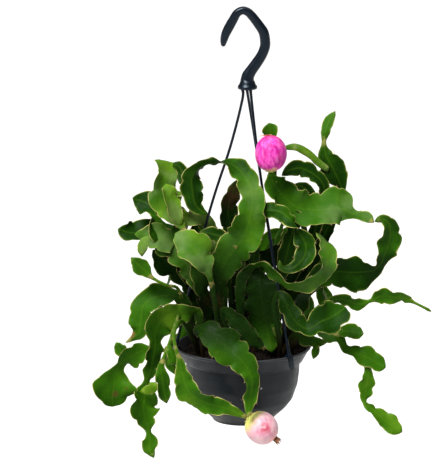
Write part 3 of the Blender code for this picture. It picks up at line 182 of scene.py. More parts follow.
# %% Short names for shader nodes
class Paint:
    """One material, with short names for the nodes that shape its look."""

    def __init__(self, name, roughness):
        self.material = bpy.data.materials.new(name)
        self.material.use_nodes = True
        self.tree = self.material.node_tree
        self.surface = self.tree.nodes["Principled BSDF"]
        self.surface.inputs["Roughness"].default_value = roughness
        self.place = self.node("ShaderNodeTexCoord", {}).outputs["Object"]

    def feed(self, socket, value):
        """Links the socket to another node's output, or sets its constant."""
        if isinstance(value, bpy.types.NodeSocket):
            self.tree.links.new(value, socket)
        elif socket.type == "RGBA" and len(value) == 3:
            socket.default_value = (*value, 1.0)
        else:
            socket.default_value = value

    def node(self, kind, inputs, **settings):
        made = self.tree.nodes.new(kind)
        for key, value in settings.items():
            setattr(made, key, value)
        for key, value in inputs.items():
            self.feed(made.inputs[key], value)
        return made

    def set(self, **inputs):
        """Sets inputs of the surface, named with _ for each space."""
        for key, value in inputs.items():
            self.feed(self.surface.inputs[key.replace("_", " ")], value)

    def noise(self, scale, detail=3.0, stretch=(1.0, 1.0, 1.0), rough=0.5):
        place = self.node("ShaderNodeMapping", {"Vector": self.place, "Scale": stretch}).outputs[0]
        found = self.node(
            "ShaderNodeTexNoise",
            {"Vector": place, "Scale": scale, "Detail": detail, "Roughness": rough},
        )
        return found.outputs["Fac"]

    def ramp(self, value, low, high, start=0.0, end=1.0):
        """start where value is low, end where it is high, and a smooth way between."""
        made = self.node("ShaderNodeMapRange", {}, interpolation_type="SMOOTHSTEP")
        for key, number in zip(("Value", "From Min", "From Max", "To Min", "To Max"),
                               (value, low, high, start, end)):
            self.feed(made.inputs[key], number)
        return made.outputs["Result"]

    def mix(self, share, first, second):
        """The first colour at share 0 and the second at share 1. Sockets 6 and 7 take colours."""
        made = self.node("ShaderNodeMix", {}, data_type="RGBA")
        for index, value in ((0, share), (6, first), (7, second)):
            self.feed(made.inputs[index], value)
        return made.outputs[2]

    def maths(self, operation, first, second=0.0):
        return self.node("ShaderNodeMath", {0: first, 1: second}, operation=operation).outputs[0]

    def times(self, product, *others):
        for other in others:
            product = self.maths("MULTIPLY", product, other)
        return product

    def plus(self, total, *others):
        for other in others:
            total = self.maths("ADD", total, other)
        return total

    def coats(self, ground, *layers):
        """Lays each colour over what is there, as thick as its share says."""
        for share, colour in layers:
            ground = self.mix(share, ground, colour)
        return ground

    def told(self, name):
        """A number that the piece's own mesh carries."""
        return self.node("ShaderNodeAttribute", {}, attribute_name=name).outputs["Fac"]

    def near(self, point, low, high):
        """1 at a point of the piece and 0 further off than high, in metres."""
        made = self.node("ShaderNodeVectorMath", {0: self.place, 1: point}, operation="DISTANCE")
        return self.ramp(made.outputs["Value"], low, high, 1.0, 0.0)

    def along(self, point, direction):
        """How far past a point the surface lies in a direction, in metres."""
        shift = self.node("ShaderNodeVectorMath", {0: self.place, 1: point}, operation="SUBTRACT")
        made = self.node("ShaderNodeVectorMath", {0: shift.outputs[0], 1: direction},
                         operation="DOT_PRODUCT")
        return made.outputs["Value"]

    def bump(self, height, distance, strength=1.0):
        made = self.node("ShaderNodeBump", {"Height": height, "Distance": distance,
                                            "Strength": strength})
        self.feed(self.surface.inputs["Normal"], made.outputs[0])


FLOOR_WHITE = (0.62, 0.62, 0.615)

floor_paint = Paint("pale_floor", 0.9)
floor_paint.set(Base_Color=FLOOR_WHITE)
floor_mesh.materials.append(floor_paint.material)
print("first finish:", floor_paint.material.name)

# %% [markdown]
# ## Meshes from rings
# The pot, the hook and the fruits are all rows of rings with faces between them. One helper joins the
# rings, closes the ends and keeps the faces turned outward. Lists of points are in millimetres, which
# is how such parts are drawn, and become metres on the mesh.

# %% Join rings of points
WELD = 1e-7
CORNER_SHARE = 0.45


def ring_mesh(name, rings, closed=False):
    """A closed mesh from rings of equal length. An end ring is capped, or joined to the first one."""
    sides = len(rings[0])
    points = [Vector(point) * MM for ring in rings for point in ring]
    faces = []
    last = len(rings) if closed else len(rings) - 1
    for k in range(last):
        low = k * sides
        high = ((k + 1) % len(rings)) * sides
        for j in range(sides):
            after = (j + 1) % sides
            faces.append((low + j, low + after, high + after, high + j))
    if not closed:
        faces.append(tuple(range(sides)))
        faces.append(tuple((len(rings) - 1) * sides + j for j in range(sides)))
    work = bmesh.new()
    made = [work.verts.new(point) for point in points]
    for face in faces:
        work.faces.new([made[index] for index in face])
    bmesh.ops.remove_doubles(work, verts=work.verts, dist=WELD)
    bmesh.ops.recalc_face_normals(work, faces=work.faces)
    mesh = bpy.data.meshes.new(name)
    work.to_mesh(mesh)
    work.free()
    mesh.shade_smooth()
    return mesh


def rounded(profile, radius, steps):
    """The same line with each inner corner turned into a short curve."""
    line = [Vector(profile[0])]
    for before, corner, after in zip(profile, profile[1:], profile[2:]):
        corner = Vector(corner)
        back = Vector(before) - corner
        ahead = Vector(after) - corner
        reach = min(radius, back.length * CORNER_SHARE, ahead.length * CORNER_SHARE)
        first = corner + back.normalized() * reach
        last = corner + ahead.normalized() * reach
        for k in range(steps + 1):
            u = k / steps
            line.append(first * (1 - u) ** 2 + corner * (2 * u * (1 - u)) + last * u**2)
    line.append(Vector(profile[-1]))
    return line


def fill_mesh(target, *parts):
    """Puts the faces of all the parts into the target mesh."""
    work = bmesh.new()
    for part in parts:
        work.from_mesh(part)
    work.to_mesh(target)
    work.free()


def finished(name, mesh, paint, slot, *nodes):
    """Makes the piece, paints it, puts it on the body and hides the solids that it stands for."""
    mesh.materials.clear()
    mesh.materials.append(paint.material)
    piece = new_object(name, mesh)
    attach(piece, BODY)
    if nodes:
        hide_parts(*nodes)


print("ring helper ready")

# %% [markdown]
# ## The pot
# The pot is injection moulded: a thin bowl with a sloping band under its rim, turned round one axis.
# Its outline is drawn once and turned in 128 steps, so its edge stays round in a close view. The
# corners are softened as a mould softens them.

# %% Turn the pot
BASE_RADIUS = 33.0
POT_HEIGHT = 84.0
FOOT_HEIGHT = 2.5
WALL = 2.0
POT_STEPS = 128
FLOOR_IN = -POT_HEIGHT + FOOT_HEIGHT + WALL
DISC_RADIUS = 24.0
DISC_OVERLAP = 0.4
CORNER = 2.0
CORNER_STEPS = 3
POT_CREASE = math.radians(38)
POT_OUTER = [
    (BASE_RADIUS - 5.0, -POT_HEIGHT + FOOT_HEIGHT), (BASE_RADIUS - 4.0, -POT_HEIGHT),
    (BASE_RADIUS, -POT_HEIGHT), (BASE_RADIUS + 1.0, -POT_HEIGHT + FOOT_HEIGHT), (39.0, -76.6),
    (47.4, -69.0), (54.8, -59.5), (60.4, -43.0), (62.0, -30.0), (62.6, -19.0), (63.2, -17.6),
    (66.0, -16.5), (RIM_RADIUS - 2.6, -4.2), (RIM_RADIUS - 1.6, -3.4), (RIM_RADIUS, -2.2),
    (RIM_RADIUS, -0.6), (RIM_RADIUS - 0.8, 0.0),
]
POT_INNER = [
    (RIM_RADIUS - 2.0, 0.0), (RIM_RADIUS - 2.8, -1.0), (64.2, -16.8), (60.4, -20.4), (58.4, -42.4),
    (53.0, -58.2), (46.0, -67.2), (37.9, -74.6), (29.0, FLOOR_IN),
]


def turned_ring(radius, height, steps):
    """Points of a level circle round the pot's axis."""
    return [
        (radius * math.cos(2 * math.pi * j / steps), radius * math.sin(2 * math.pi * j / steps), height)
        for j in range(steps)
    ]


outline = rounded(POT_OUTER + POT_INNER, CORNER, CORNER_STEPS)
outline = [(DISC_RADIUS, -POT_HEIGHT + FOOT_HEIGHT), *map(tuple, outline), (DISC_RADIUS, FLOOR_IN)]
pot_rings = [turned_ring(radius, RIM_Z + height, POT_STEPS) for radius, height in outline]
pot_mesh = ring_mesh("pot_moulded", pot_rings, closed=True)
print("pot wall faces:", len(pot_mesh.polygons))

# %% [markdown]
# ## The drain holes
# Water leaves such a pot through a few round holes in its floor. The floor is a disc that overlaps the
# wall a little, and a Boolean cuts short cylinders out of it. Cutting the disc alone, and not the whole
# pot, keeps the wall's even faces.

# %% Close the pot's floor
DRAIN_RADIUS = 3.0
DRAIN_CIRCLE = 19.0
DRAIN_COUNT = 6
DRAIN_SIDES = 24
DRAIN_PAST = 4.0


def with_holes(base, cutters):
    """Cuts the holes and gives the plain mesh that is left."""
    for k, cutter in enumerate(cutters):
        step = base.modifiers.new(f"hole_{k}", "BOOLEAN")
        step.operation = "DIFFERENCE"
        step.object = cutter
    bpy.context.view_layer.update()
    seen = base.evaluated_get(bpy.context.evaluated_depsgraph_get())
    mesh = bpy.data.meshes.new_from_object(seen)
    for made in (base, *cutters):
        bpy.data.objects.remove(made, do_unlink=True)
    return mesh


disc = new_object(
    "floor_disc",
    ring_mesh("floor_disc", [turned_ring(DISC_RADIUS + DISC_OVERLAP, RIM_Z + height, POT_STEPS)
                             for height in (-POT_HEIGHT + FOOT_HEIGHT, FLOOR_IN)]),
)
drains = []
for k in range(DRAIN_COUNT):
    angle = 2 * math.pi * (k + 0.5) / DRAIN_COUNT
    middle = Vector((DRAIN_CIRCLE * math.cos(angle), DRAIN_CIRCLE * math.sin(angle), 0.0))
    rings = []
    for height in (-POT_HEIGHT, FLOOR_IN + DRAIN_PAST):
        rings.append([Vector(p) + middle for p in turned_ring(DRAIN_RADIUS, RIM_Z + height, DRAIN_SIDES)])
    drains.append(new_object(f"drain_{k}", ring_mesh(f"drain_{k}", rings)))
fill_mesh(pot_mesh, pot_mesh, with_holes(disc, drains))
pot_mesh.set_sharp_from_angle(angle=POT_CREASE)
print("pot faces with its floor:", len(pot_mesh.polygons))

# %% [markdown]
# ## Moulded plastic
# Black nursery plastic isn't black: it is a cool dark grey with a soft sheen, dusty in places, stained
# low down and paler on the edge that hands rub. Each of these is one coat over the grey, and the fine
# rings from the mould are a bump. The inside is told apart by the way its points face. It is darkened,
# because little light reaches it on the real pot.

# %% Paint the pot
POT_GREY = (0.0055, 0.0073, 0.0095)
POT_DUST = (0.016, 0.0195, 0.023)
POT_STREAK = (0.016, 0.018, 0.02)
POT_LIP = (0.05, 0.053, 0.056)
POT_PAINTED_SHADE = (0.0025, 0.002, 0.0018)
SCUFF = (0.7, 0.71, 0.72)
SCUFF_AT = Vector((20.0, -59.0, RIM_Z - 35.0))
LIP_BAND = (0.6, 3.0)
SHADED_BELOW = 62.0

pot_paint = Paint("pot_plastic_look", 0.4)
dust = pot_paint.ramp(pot_paint.noise(38.0, 5.0), 0.45, 0.8, 0.0, 0.4)
streaks = pot_paint.ramp(pot_paint.noise(26.0, 4.0, (1.0, 1.0, 9.0)), 0.4, 0.75, 0.0, 0.3)
height = pot_paint.node("ShaderNodeSeparateXYZ", {0: pot_paint.place}).outputs["Z"]
# A paler band just under the top of the rim.
lip = pot_paint.ramp(height, (RIM_Z - LIP_BAND[1]) * MM, (RIM_Z - LIP_BAND[0]) * MM, 0.0, 0.42)
# Painted shade: the pot is darker towards its base.
low = pot_paint.ramp(height, (RIM_Z - POT_HEIGHT) * MM, (RIM_Z - SHADED_BELOW) * MM, 0.75, 0.0)
inward = [float(point.normal.x * point.co.x + point.normal.y * point.co.y < 0)
          for point in pot_mesh.vertices]
pot_mesh.attributes.new("inward", "FLOAT", "POINT").data.foreach_set("value", inward)
# Painted shade: the inside wall is darkened, since little light reaches it.
inside = pot_paint.ramp(pot_paint.told("inward"), 0.4, 1.0, 0.0, 0.85)
scuff = pot_paint.near(tuple(SCUFF_AT * MM), 0.0006, 0.0016)
grey = pot_paint.coats(POT_GREY, (dust, POT_DUST), (streaks, POT_STREAK), (lip, POT_LIP),
                       (low, POT_PAINTED_SHADE), (inside, POT_PAINTED_SHADE), (scuff, SCUFF))
pot_paint.set(
    Base_Color=grey,
    Roughness=pot_paint.ramp(pot_paint.noise(60.0, 4.0), 0.3, 0.7, 0.38, 0.55),
    Specular_IOR_Level=0.2,
)
rings_seen = pot_paint.noise(1.0, 2.0, (40.0, 40.0, 900.0))
pot_paint.bump(rings_seen, 0.00025, 0.35)
finished("pot_moulded", pot_mesh, pot_paint, "pot_plastic", "pot")

# %% [markdown]
# ## The hook
# The hanger's hook is a flattened rod that swells into a round flange. Its line is a smooth curve
# through listed rows, each with a half width in the plane of the hook and a half depth across it.
# A squared-off oval section, with a fine parting ridge from the mould, reads as plastic, not as wire.


# %% Read a smooth curve at chosen steps
def spline(controls, step, fine=24):
    """Rows along a smooth curve through the controls, about one step apart. The step may be a number,
    or a function of the row's values. Gives the distance travelled and the rows."""
    rows = np.array(controls, float)
    padded = np.vstack([2 * rows[0] - rows[1], rows, 2 * rows[-1] - rows[-2]])
    parts = []
    for k in range(1, len(padded) - 2):
        a, b, c, d = padded[k - 1 : k + 3]
        u = np.linspace(0, 1, fine, endpoint=False)[:, None]
        parts.append(
            0.5 * (2 * b + (c - a) * u + (2 * a - 5 * b + 4 * c - d) * u**2
                   + (3 * b - a - 3 * c + d) * u**3)
        )
    dense = np.vstack([*parts, rows[-1:]])
    lengths = np.r_[0, np.cumsum(np.linalg.norm(np.diff(dense[:, :3], axis=0), axis=1))]
    steps = np.array([step(row) if callable(step) else step for row in dense])
    counted = np.r_[0, np.cumsum(np.diff(lengths) / ((steps[1:] + steps[:-1]) / 2))]
    wanted = np.linspace(0, counted[-1], max(int(round(counted[-1])), 3) + 1)
    read = [np.interp(wanted, counted, column) for column in (lengths, *dense.T)]
    return read[0], np.column_stack(read[1:])


def level(values, passes):
    """Smooths rows of values along their length and keeps the ends."""
    for _ in range(passes):
        inner = (values[:-2] + 2 * values[1:-1] + values[2:]) / 4
        values = np.concatenate([values[:1], inner, values[-1:]])
    return values


print("a curve through three rows:", spline([(0, 0, 0), (5, 0, 5), (10, 0, 0)], 2.0)[1].shape)

# %% [markdown]
# ## Flange and rod
# The flange is a stack of round sections and the rod above it a run of ovals, joined in one mesh.
# Sweeping one fixed section along a curve would be quicker, but the rod swells and thins on its way,
# so each ring gets its own size and stands square to the smoothed line.

# %% Sweep the hook
HOOK_FOOT_Z = -81.6
FLANGE_X = 4.6
FLANGE = [
    (HOOK_FOOT_Z, 9.3), (HOOK_FOOT_Z, 9.9), (-81.2, 10.4), (-80.2, 10.5), (-78.8, 10.4), (-77.9, 9.9),
    (-77.2, 9.2), (-76.0, 8.6), (-74.6, 8.1), (-73.0, 7.6),
]
HOOK_LINE = [
    (4.4, -72.0, 7.2, 5.8),
    (5.4, -67.0, 6.6, 5.2),
    (9.1, -61.0, 5.9, 4.7),
    (14.5, -53.3, 5.7, 4.5),
    (19.9, -44.8, 5.4, 4.3),
    (23.1, -36.7, 5.4, 4.3),
    (23.7, -29.9, 5.4, 4.3),
    (22.0, -19.9, 5.3, 4.2),
    (17.4, -12.4, 5.0, 4.2),
    (9.9, -2.4, 4.7, 4.2),
    (5.0, 2.4, 4.5, 4.2),
    (-0.6, 4.3, 4.3, 4.2),
    (-6.6, 1.4, 4.4, 4.2),
    (-10.9, -5.8, 4.8, 4.2),
    (-15.6, -14.3, 5.0, 4.2),
    (-19.2, -21.8, 4.6, 4.0),
    (-21.0, -28.4, 3.8, 3.5),
    (-21.9, -34.2, 2.2, 2.2),
]
HOOK_SIDES = 40
HOOK_STEP = 1.3
HOOK_SMOOTH = 4
HOOK_CREASE = math.radians(50)
RIDGE = 0.22
ROUND = 2.0
SQUARED = 2.5
ACROSS = Vector((1, 0, 0))
TIP_STEP = Vector((-0.05, 0, -0.8))
TIP_RADIUS = 1.5


def oval(centre, across, wide, deep, square=SQUARED):
    """A squared-off oval, wide along across and deep along Y, with a ridge on its edges."""
    ring = []
    for j in range(HOOK_SIDES):
        angle = 2 * math.pi * j / HOOK_SIDES
        cosine = math.cos(angle)
        sine = math.sin(angle)
        aside = math.copysign(abs(cosine) ** (2 / square), cosine)
        behind = math.copysign(abs(sine) ** (2 / square), sine)
        ridge = RIDGE if j % (HOOK_SIDES // 2) == 0 else 0.0
        ring.append(centre + across * (aside * (wide + ridge)) + Vector((0, behind * deep, 0)))
    return ring


hook_rings = []
for z, radius in FLANGE:
    hook_rings.append(oval(Vector((FLANGE_X, 0, z)), ACROSS, radius, radius, ROUND))
_, hook_rows = spline([(x, 0, z, w, d) for x, z, w, d in HOOK_LINE], HOOK_STEP)
slopes = level(np.gradient(hook_rows[:, :3], axis=0), HOOK_SMOOTH)
for row, slope in zip(hook_rows, slopes):
    slope = Vector(slope).normalized()
    lean = Vector((slope.z, 0, -slope.x))
    hook_rings.append(oval(Vector(row[:3]), lean, row[3], row[4]))
tip = Vector(hook_rows[-1][:3])
hook_rings.append(oval(tip + TIP_STEP, ACROSS, TIP_RADIUS, TIP_RADIUS, ROUND))
hook_mesh = ring_mesh("hook_moulded", hook_rings)
hook_mesh.set_sharp_from_angle(angle=HOOK_CREASE)
print("hook rings:", len(hook_rings))

# %% [markdown]
# ## Glossy plastic
# The hanger's plastic is dark with a blue cast, and glossier than the pot's. Wear shows as paler clouds,
# and a fine grain breaks up the gleams, so three noises do the whole finish.

# %% Paint the hook
HOOK_BLUE = (0.0015, 0.0032, 0.0065)
HOOK_WORN = (0.004, 0.0075, 0.0125)
HOOK_GLEAM = (0.72, 0.86, 1.0)

hook_paint = Paint("hook_plastic_look", 0.42)
worn = hook_paint.ramp(hook_paint.noise(70.0, 4.0), 0.45, 0.75, 0.0, 0.5)
hook_paint.set(
    Base_Color=hook_paint.mix(worn, HOOK_BLUE, HOOK_WORN),
    Roughness=hook_paint.ramp(hook_paint.noise(90.0, 3.0), 0.3, 0.7, 0.28, 0.38),
    Specular_IOR_Level=0.28,
    Specular_Tint=HOOK_GLEAM,
)
hook_paint.bump(hook_paint.noise(700.0, 2.0), 0.0002, 0.25)
finished("hook_moulded", hook_mesh, hook_paint, "hook_plastic", "hanger_hook")
print("hook finished")

# %% [markdown]
# ## Geometry Nodes from a script
# Some forms are rules more than shapes: sweep this along that, or set one of these on each point.
# Geometry Nodes suit them. The helpers below build a tree with named inputs, run it on a mesh and give
# back a plain mesh, so the finished piece needs no modifier.


# %% Helpers for Geometry Nodes
def node_tree(name, inputs):
    """A new tree with a Geometry socket each way and the named inputs."""
    tree = bpy.data.node_groups.new(name, "GeometryNodeTree")
    tree.interface.new_socket("Geometry", in_out="INPUT", socket_type="NodeSocketGeometry")
    for label, kind in inputs:
        tree.interface.new_socket(label, in_out="INPUT", socket_type=f"NodeSocket{kind}")
    tree.interface.new_socket("Geometry", in_out="OUTPUT", socket_type="NodeSocketGeometry")
    start = tree.nodes.new("NodeGroupInput")
    end = tree.nodes.new("NodeGroupOutput")
    return tree, start.outputs, end.inputs


def put(tree, kind, inputs, **settings):
    """A new node of the tree, with its inputs linked or set."""
    made = tree.nodes.new(kind)
    for key, value in settings.items():
        setattr(made, key, value)
    for key, value in inputs.items():
        if isinstance(value, bpy.types.NodeSocket):
            tree.links.new(value, made.inputs[key])
        else:
            made.inputs[key].default_value = value
    return made


def close_tree(tree, shape, given, result):
    """Ends a tree: whatever it made becomes real faces with the given finish."""
    whole = put(tree, "GeometryNodeRealizeInstances", {0: shape})
    dyed = put(tree, "GeometryNodeSetMaterial", {0: whole.outputs[0], "Material": given["Finish"]})
    tree.links.new(dyed.outputs[0], result[0])


def grown(mesh, tree, values):
    """Runs the tree on the mesh and gives the plain mesh that it makes."""
    seed_object = new_object("seed", mesh)
    step = seed_object.modifiers.new("grow", "NODES")
    step.node_group = tree
    for item in tree.interface.items_tree:
        if item.in_out == "INPUT" and item.name in values:
            step[item.identifier] = values[item.name]
    bpy.context.view_layer.update()
    seen = seed_object.evaluated_get(bpy.context.evaluated_depsgraph_get())
    made = bpy.data.meshes.new_from_object(seen)
    bpy.data.objects.remove(seed_object, do_unlink=True)
    return made


print("node helpers ready")

# %% [markdown]
# ## The strands
# Three strands run from the flange to the rim, each ending in a clip moulded in one with it. A strand
# follows a path, so Geometry Nodes sweep a circle along its curve. The tree takes the path, the sides
# and the finish as named inputs, and reads each point's thickness from the path itself.

# %% Build the tree of a strand
strand_tree, given, result = node_tree("strand", [("Sides", "Int"), ("Finish", "Material")])
path = put(strand_tree, "GeometryNodeMeshToCurve", {0: given["Geometry"]})
thick = put(strand_tree, "GeometryNodeInputNamedAttribute", {"Name": "thick"}, data_type="FLOAT")
sized = put(strand_tree, "GeometryNodeSetCurveRadius", {0: path.outputs[0],
                                                        "Radius": thick.outputs[0]})
circle = put(strand_tree, "GeometryNodeCurvePrimitiveCircle", {"Resolution": given["Sides"],
                                                               "Radius": 1.0})
swept = put(strand_tree, "GeometryNodeCurveToMesh", {"Curve": sized.outputs[0],
                                                     "Profile Curve": circle.outputs[0],
                                                     "Fill Caps": True})
# Where this node has a Scale socket, it takes the thickness from there and not from the radius.
for socket in swept.inputs:
    if socket.name == "Scale":
        strand_tree.links.new(thick.outputs[0], socket)
round_look = put(strand_tree, "GeometryNodeSetShadeSmooth", {0: swept.outputs[0]})
close_tree(strand_tree, round_look.outputs[0], given, result)
print("strand tree nodes:", len(strand_tree.nodes))

# %% [markdown]
# ## The clips
# The flat clip starts inside the rim, passes over it and hangs down outside, a little to one side. A
# drawn outline gives two sheets of faces and a band between them, and a bevel rounds the edges.

# %% Shape a clip
CLIP_WIDTH = 7.0
CLIP_THICK = 1.8
CLIP_LENGTH = 15.0
CLIP_LEAN = 3.0
CLIP_CLEAR = 0.7
CLIP_FOOT_HALF = 0.28 * CLIP_WIDTH
CLIP_BEVEL = 0.35
CLIP_CORNER = math.radians(25)
CLIP_CREASE = math.radians(40)
GAP = 0.3


def clip_mesh(out, side):
    """The moulded clip: over the rim and straight down outside it, narrow at its foot."""
    outside = RIM_RADIUS + CLIP_CLEAR
    profile = [
        (RIM_RADIUS - 7.4, -6.2), (RIM_RADIUS - 4.8, GAP + CLIP_THICK - 0.8),
        (RIM_RADIUS - 4.0, GAP + CLIP_THICK), (outside + CLIP_THICK - 0.6, GAP + CLIP_THICK),
        (outside + CLIP_THICK, GAP + CLIP_THICK - 0.8), (outside + CLIP_THICK - 0.6, -11.0),
        (outside + CLIP_THICK - 1.0, -CLIP_LENGTH), (outside - 0.2, -CLIP_LENGTH),
        (outside, -11.0), (outside, GAP), (RIM_RADIUS - 3.0, GAP), (RIM_RADIUS - 5.8, -6.2),
    ]
    count = len(profile)
    halves = [CLIP_WIDTH / 2] * count
    halves[6] = halves[7] = CLIP_FOOT_HALF
    work = bmesh.new()
    sheets = []
    for sign in (-1, 1):
        sheet = []
        for (radius, z), half in zip(profile, halves):
            lean = CLIP_LEAN * max(-z, 0.0) / CLIP_LENGTH * (radius > RIM_RADIUS)
            across = side * (sign * half + lean)
            sheet.append(work.verts.new((out * radius + across + Vector((0, 0, RIM_Z + z))) * MM))
        sheets.append(sheet)
    for quad in ((0, 1, 10, 11), (1, 2, 3, 10), (3, 4, 9, 10), (4, 5, 8, 9), (5, 6, 7, 8)):
        for sheet in sheets:
            work.faces.new([sheet[index] for index in quad])
    for k in range(count):
        after = (k + 1) % count
        work.faces.new((sheets[0][k], sheets[0][after], sheets[1][after], sheets[1][k]))
    bmesh.ops.recalc_face_normals(work, faces=work.faces)
    sharp = [edge for edge in work.edges if edge.calc_face_angle(0.0) > CLIP_CORNER]
    bmesh.ops.bevel(work, geom=sharp, offset=CLIP_BEVEL * MM, segments=2, affect="EDGES")
    mesh = bpy.data.meshes.new("clip")
    work.to_mesh(mesh)
    work.free()
    mesh.shade_smooth()
    mesh.set_sharp_from_angle(angle=CLIP_CREASE)
    return mesh


print("faces of a clip:", len(clip_mesh(Vector((1, 0, 0)), Vector((0, 1, 0))).polygons))

# %% [markdown]
# ## Hanging the pot
# Each strand bows a little and swells where it leaves the flange and where it meets its clip. The tree
# makes the round part, and the clip joins it in one mesh with the hook's finish. A strand's row holds
# its direction round the pot in degrees, where it leaves the flange, and how far it bows aside at some
# shares of its length.

# %% Make the strands
STRAND_RADIUS = 1.5
STRAND_STEP = 4.0
STRAND_SIDES = 16
FOOT_SWELL = 1.1
FOOT_SWELL_LENGTH = 5.0
HEAD_SWELL = 0.5
HEAD_SWELL_LENGTH = 2.5
STRANDS = {
    "left": (190.0, (-1.0, 0.0), ((0.04, 3.0), (0.22, 3.2), (0.5, -1.4))),
    "right": (-48.0, (7.8, -2.8), ((0.22, -2.2), (0.5, -2.6))),
    "back": (50.0, (3.8, 4.4), ((0.22, 0.0), (0.5, -0.5))),
}

for name, (degrees, top, bows) in STRANDS.items():
    angle = math.radians(degrees)
    out = Vector((math.cos(angle), math.sin(angle), 0.0))
    head = Vector((top[0], top[1], HOOK_FOOT_Z - GAP))
    foot = out * (RIM_RADIUS - 0.2) + Vector((0, 0, RIM_Z + GAP + CLIP_THICK - 1.2))
    way = [head.lerp(foot, share) + Vector((shift, 0.0, 0.0)) for share, shift in bows]
    travelled, rows = spline([tuple(place) for place in (head, *way, foot)], STRAND_STEP)
    left_over = travelled[-1] - travelled
    foot_swell = FOOT_SWELL * np.exp(-left_over / FOOT_SWELL_LENGTH)
    head_swell = HEAD_SWELL * np.exp(-travelled / HEAD_SWELL_LENGTH)
    radii = STRAND_RADIUS + foot_swell + head_swell
    line = bpy.data.meshes.new("path")
    line.from_pydata([Vector(row) * MM for row in rows], [(k, k + 1) for k in range(len(rows) - 1)], [])
    line.attributes.new("thick", "FLOAT", "POINT").data.foreach_set("value", radii * MM)
    cord = grown(line, strand_tree, {"Sides": STRAND_SIDES, "Finish": hook_paint.material})
    clip = clip_mesh(out, Vector((-out.y, out.x, 0.0)))
    mesh = bpy.data.meshes.new(f"strand_{name}_moulded")
    fill_mesh(mesh, cord, clip)
    finished(f"strand_{name}_moulded", mesh, hook_paint, "hook_plastic", f"hanger_strand_{name}")
    print("strand", name, "faces:", len(mesh.polygons))

# %% [markdown]
# ## The bark mix
# The plant grows in a dark, crumbly mix of bark and peat. The solid fill keeps its shape and only gets
# an earthy finish: two browns mixed by a fine noise, which also roughens the surface.

# %% Paint the fill
SOIL_DROP = 8.0
SOIL_DOME = 3.0
SOIL_DOME_RADIUS = 55.0
EARTH_DARK = (0.003, 0.002, 0.0015)
EARTH_PALE = (0.012, 0.008, 0.005)


def soil_top(x, y):
    """The height of the mix at a place, in millimetres: a low dome."""
    return RIM_Z - SOIL_DROP + SOIL_DOME * max(0.0, 1.0 - math.hypot(x, y) / SOIL_DOME_RADIUS)


soil_paint = Paint("bark_mix_look", 0.92)
crumbs = soil_paint.noise(420.0, 6.0, rough=0.7)
earth = soil_paint.mix(soil_paint.ramp(crumbs, 0.35, 0.7), EARTH_DARK, EARTH_PALE)
soil_paint.set(Base_Color=earth, Specular_IOR_Level=0.1)
soil_paint.bump(crumbs, 0.0015, 0.9)
soil_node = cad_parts["soil"]
soil_node.data.materials.clear()
soil_node.data.materials.append(soil_paint.material)

# %% [markdown]
# ## Loose bark
# Loose chips lie on the mix by the hundred, so Geometry Nodes scatter them. Points are dealt over a
# field with a fixed seed, and a little ball is set on each, stretched and turned by chance. A fine
# noise then pushes the skin of each ball in and out, until it looks broken rather than round.

# %% Lay the field for the chips
CHIP_RINGS = (12.0, 24.0, 36.0, 48.0, 58.0, 65.0)
CHIP_FIELD_STEPS = 36
CHIP_LIFT = 0.2
CHIP_SINK = 0.09
CHIP_SINK_FROM = 50.0

field_rings = []
for radius in CHIP_RINGS:
    ring = turned_ring(radius, 0.0, CHIP_FIELD_STEPS)
    sunk = max(radius - CHIP_SINK_FROM, 0) * CHIP_SINK
    field_rings.append([(x, y, soil_top(x, y) + CHIP_LIFT - sunk) for x, y, _ in ring])
field_points = [(0.0, 0.0, soil_top(0, 0) + CHIP_LIFT)] + [p for ring in field_rings for p in ring]
field_faces = [(0, 1 + j, 1 + (j + 1) % CHIP_FIELD_STEPS) for j in range(CHIP_FIELD_STEPS)]
for k in range(len(field_rings) - 1):
    low = 1 + k * CHIP_FIELD_STEPS
    for j in range(CHIP_FIELD_STEPS):
        after = (j + 1) % CHIP_FIELD_STEPS
        field_faces.append((low + j, low + CHIP_FIELD_STEPS + j, low + CHIP_FIELD_STEPS + after,
                            low + after))
field = bpy.data.meshes.new("field")
field.from_pydata([Vector(p) * MM for p in field_points], [], field_faces)
print("field faces:", len(field_faces))

# %% Grow chips from nodes
CHIPS = {"Density": 52000.0, "Smallest": (0.0007, 0.0006, 0.0004), "Largest": (0.0034, 0.002, 0.0013),
         "Seed": 11}
CHIP_TURN = (0.5, 0.5, 3.2)
CHIP_TURN_SEED = 3
LUMP_SCALE = 600.0
LUMP_HEIGHT = 0.0028

chip_tree, given, result = node_tree(
    "chips", [("Density", "Float"), ("Smallest", "Vector"), ("Largest", "Vector"), ("Seed", "Int"),
              ("Finish", "Material")]
)
dealt = put(chip_tree, "GeometryNodeDistributePointsOnFaces",
            {"Mesh": given["Geometry"], "Density": given["Density"], "Seed": given["Seed"]})
stone = put(chip_tree, "GeometryNodeMeshIcoSphere", {"Radius": 1.0, "Subdivisions": 2})
size = put(chip_tree, "FunctionNodeRandomValue", {0: given["Smallest"], 1: given["Largest"],
                                                  "Seed": given["Seed"]}, data_type="FLOAT_VECTOR")
turn = put(chip_tree, "FunctionNodeRandomValue", {0: tuple(-most for most in CHIP_TURN), 1: CHIP_TURN,
                                                  "Seed": CHIP_TURN_SEED}, data_type="FLOAT_VECTOR")
laid = put(chip_tree, "GeometryNodeInstanceOnPoints",
           {"Points": dealt.outputs[0], "Instance": stone.outputs[0], "Rotation": turn.outputs[0],
            "Scale": size.outputs[0]})
loose = put(chip_tree, "GeometryNodeRealizeInstances", {0: laid.outputs[0]})
spot = put(chip_tree, "GeometryNodeInputPosition", {})
lumps = put(chip_tree, "ShaderNodeTexNoise", {"Vector": spot.outputs[0], "Scale": LUMP_SCALE,
                                              "Detail": 2.0})
centred = put(chip_tree, "ShaderNodeVectorMath", {0: lumps.outputs["Color"], 1: (0.5, 0.5, 0.5)},
              operation="SUBTRACT")
shove = put(chip_tree, "ShaderNodeVectorMath", {0: centred.outputs[0], "Scale": LUMP_HEIGHT},
            operation="SCALE")
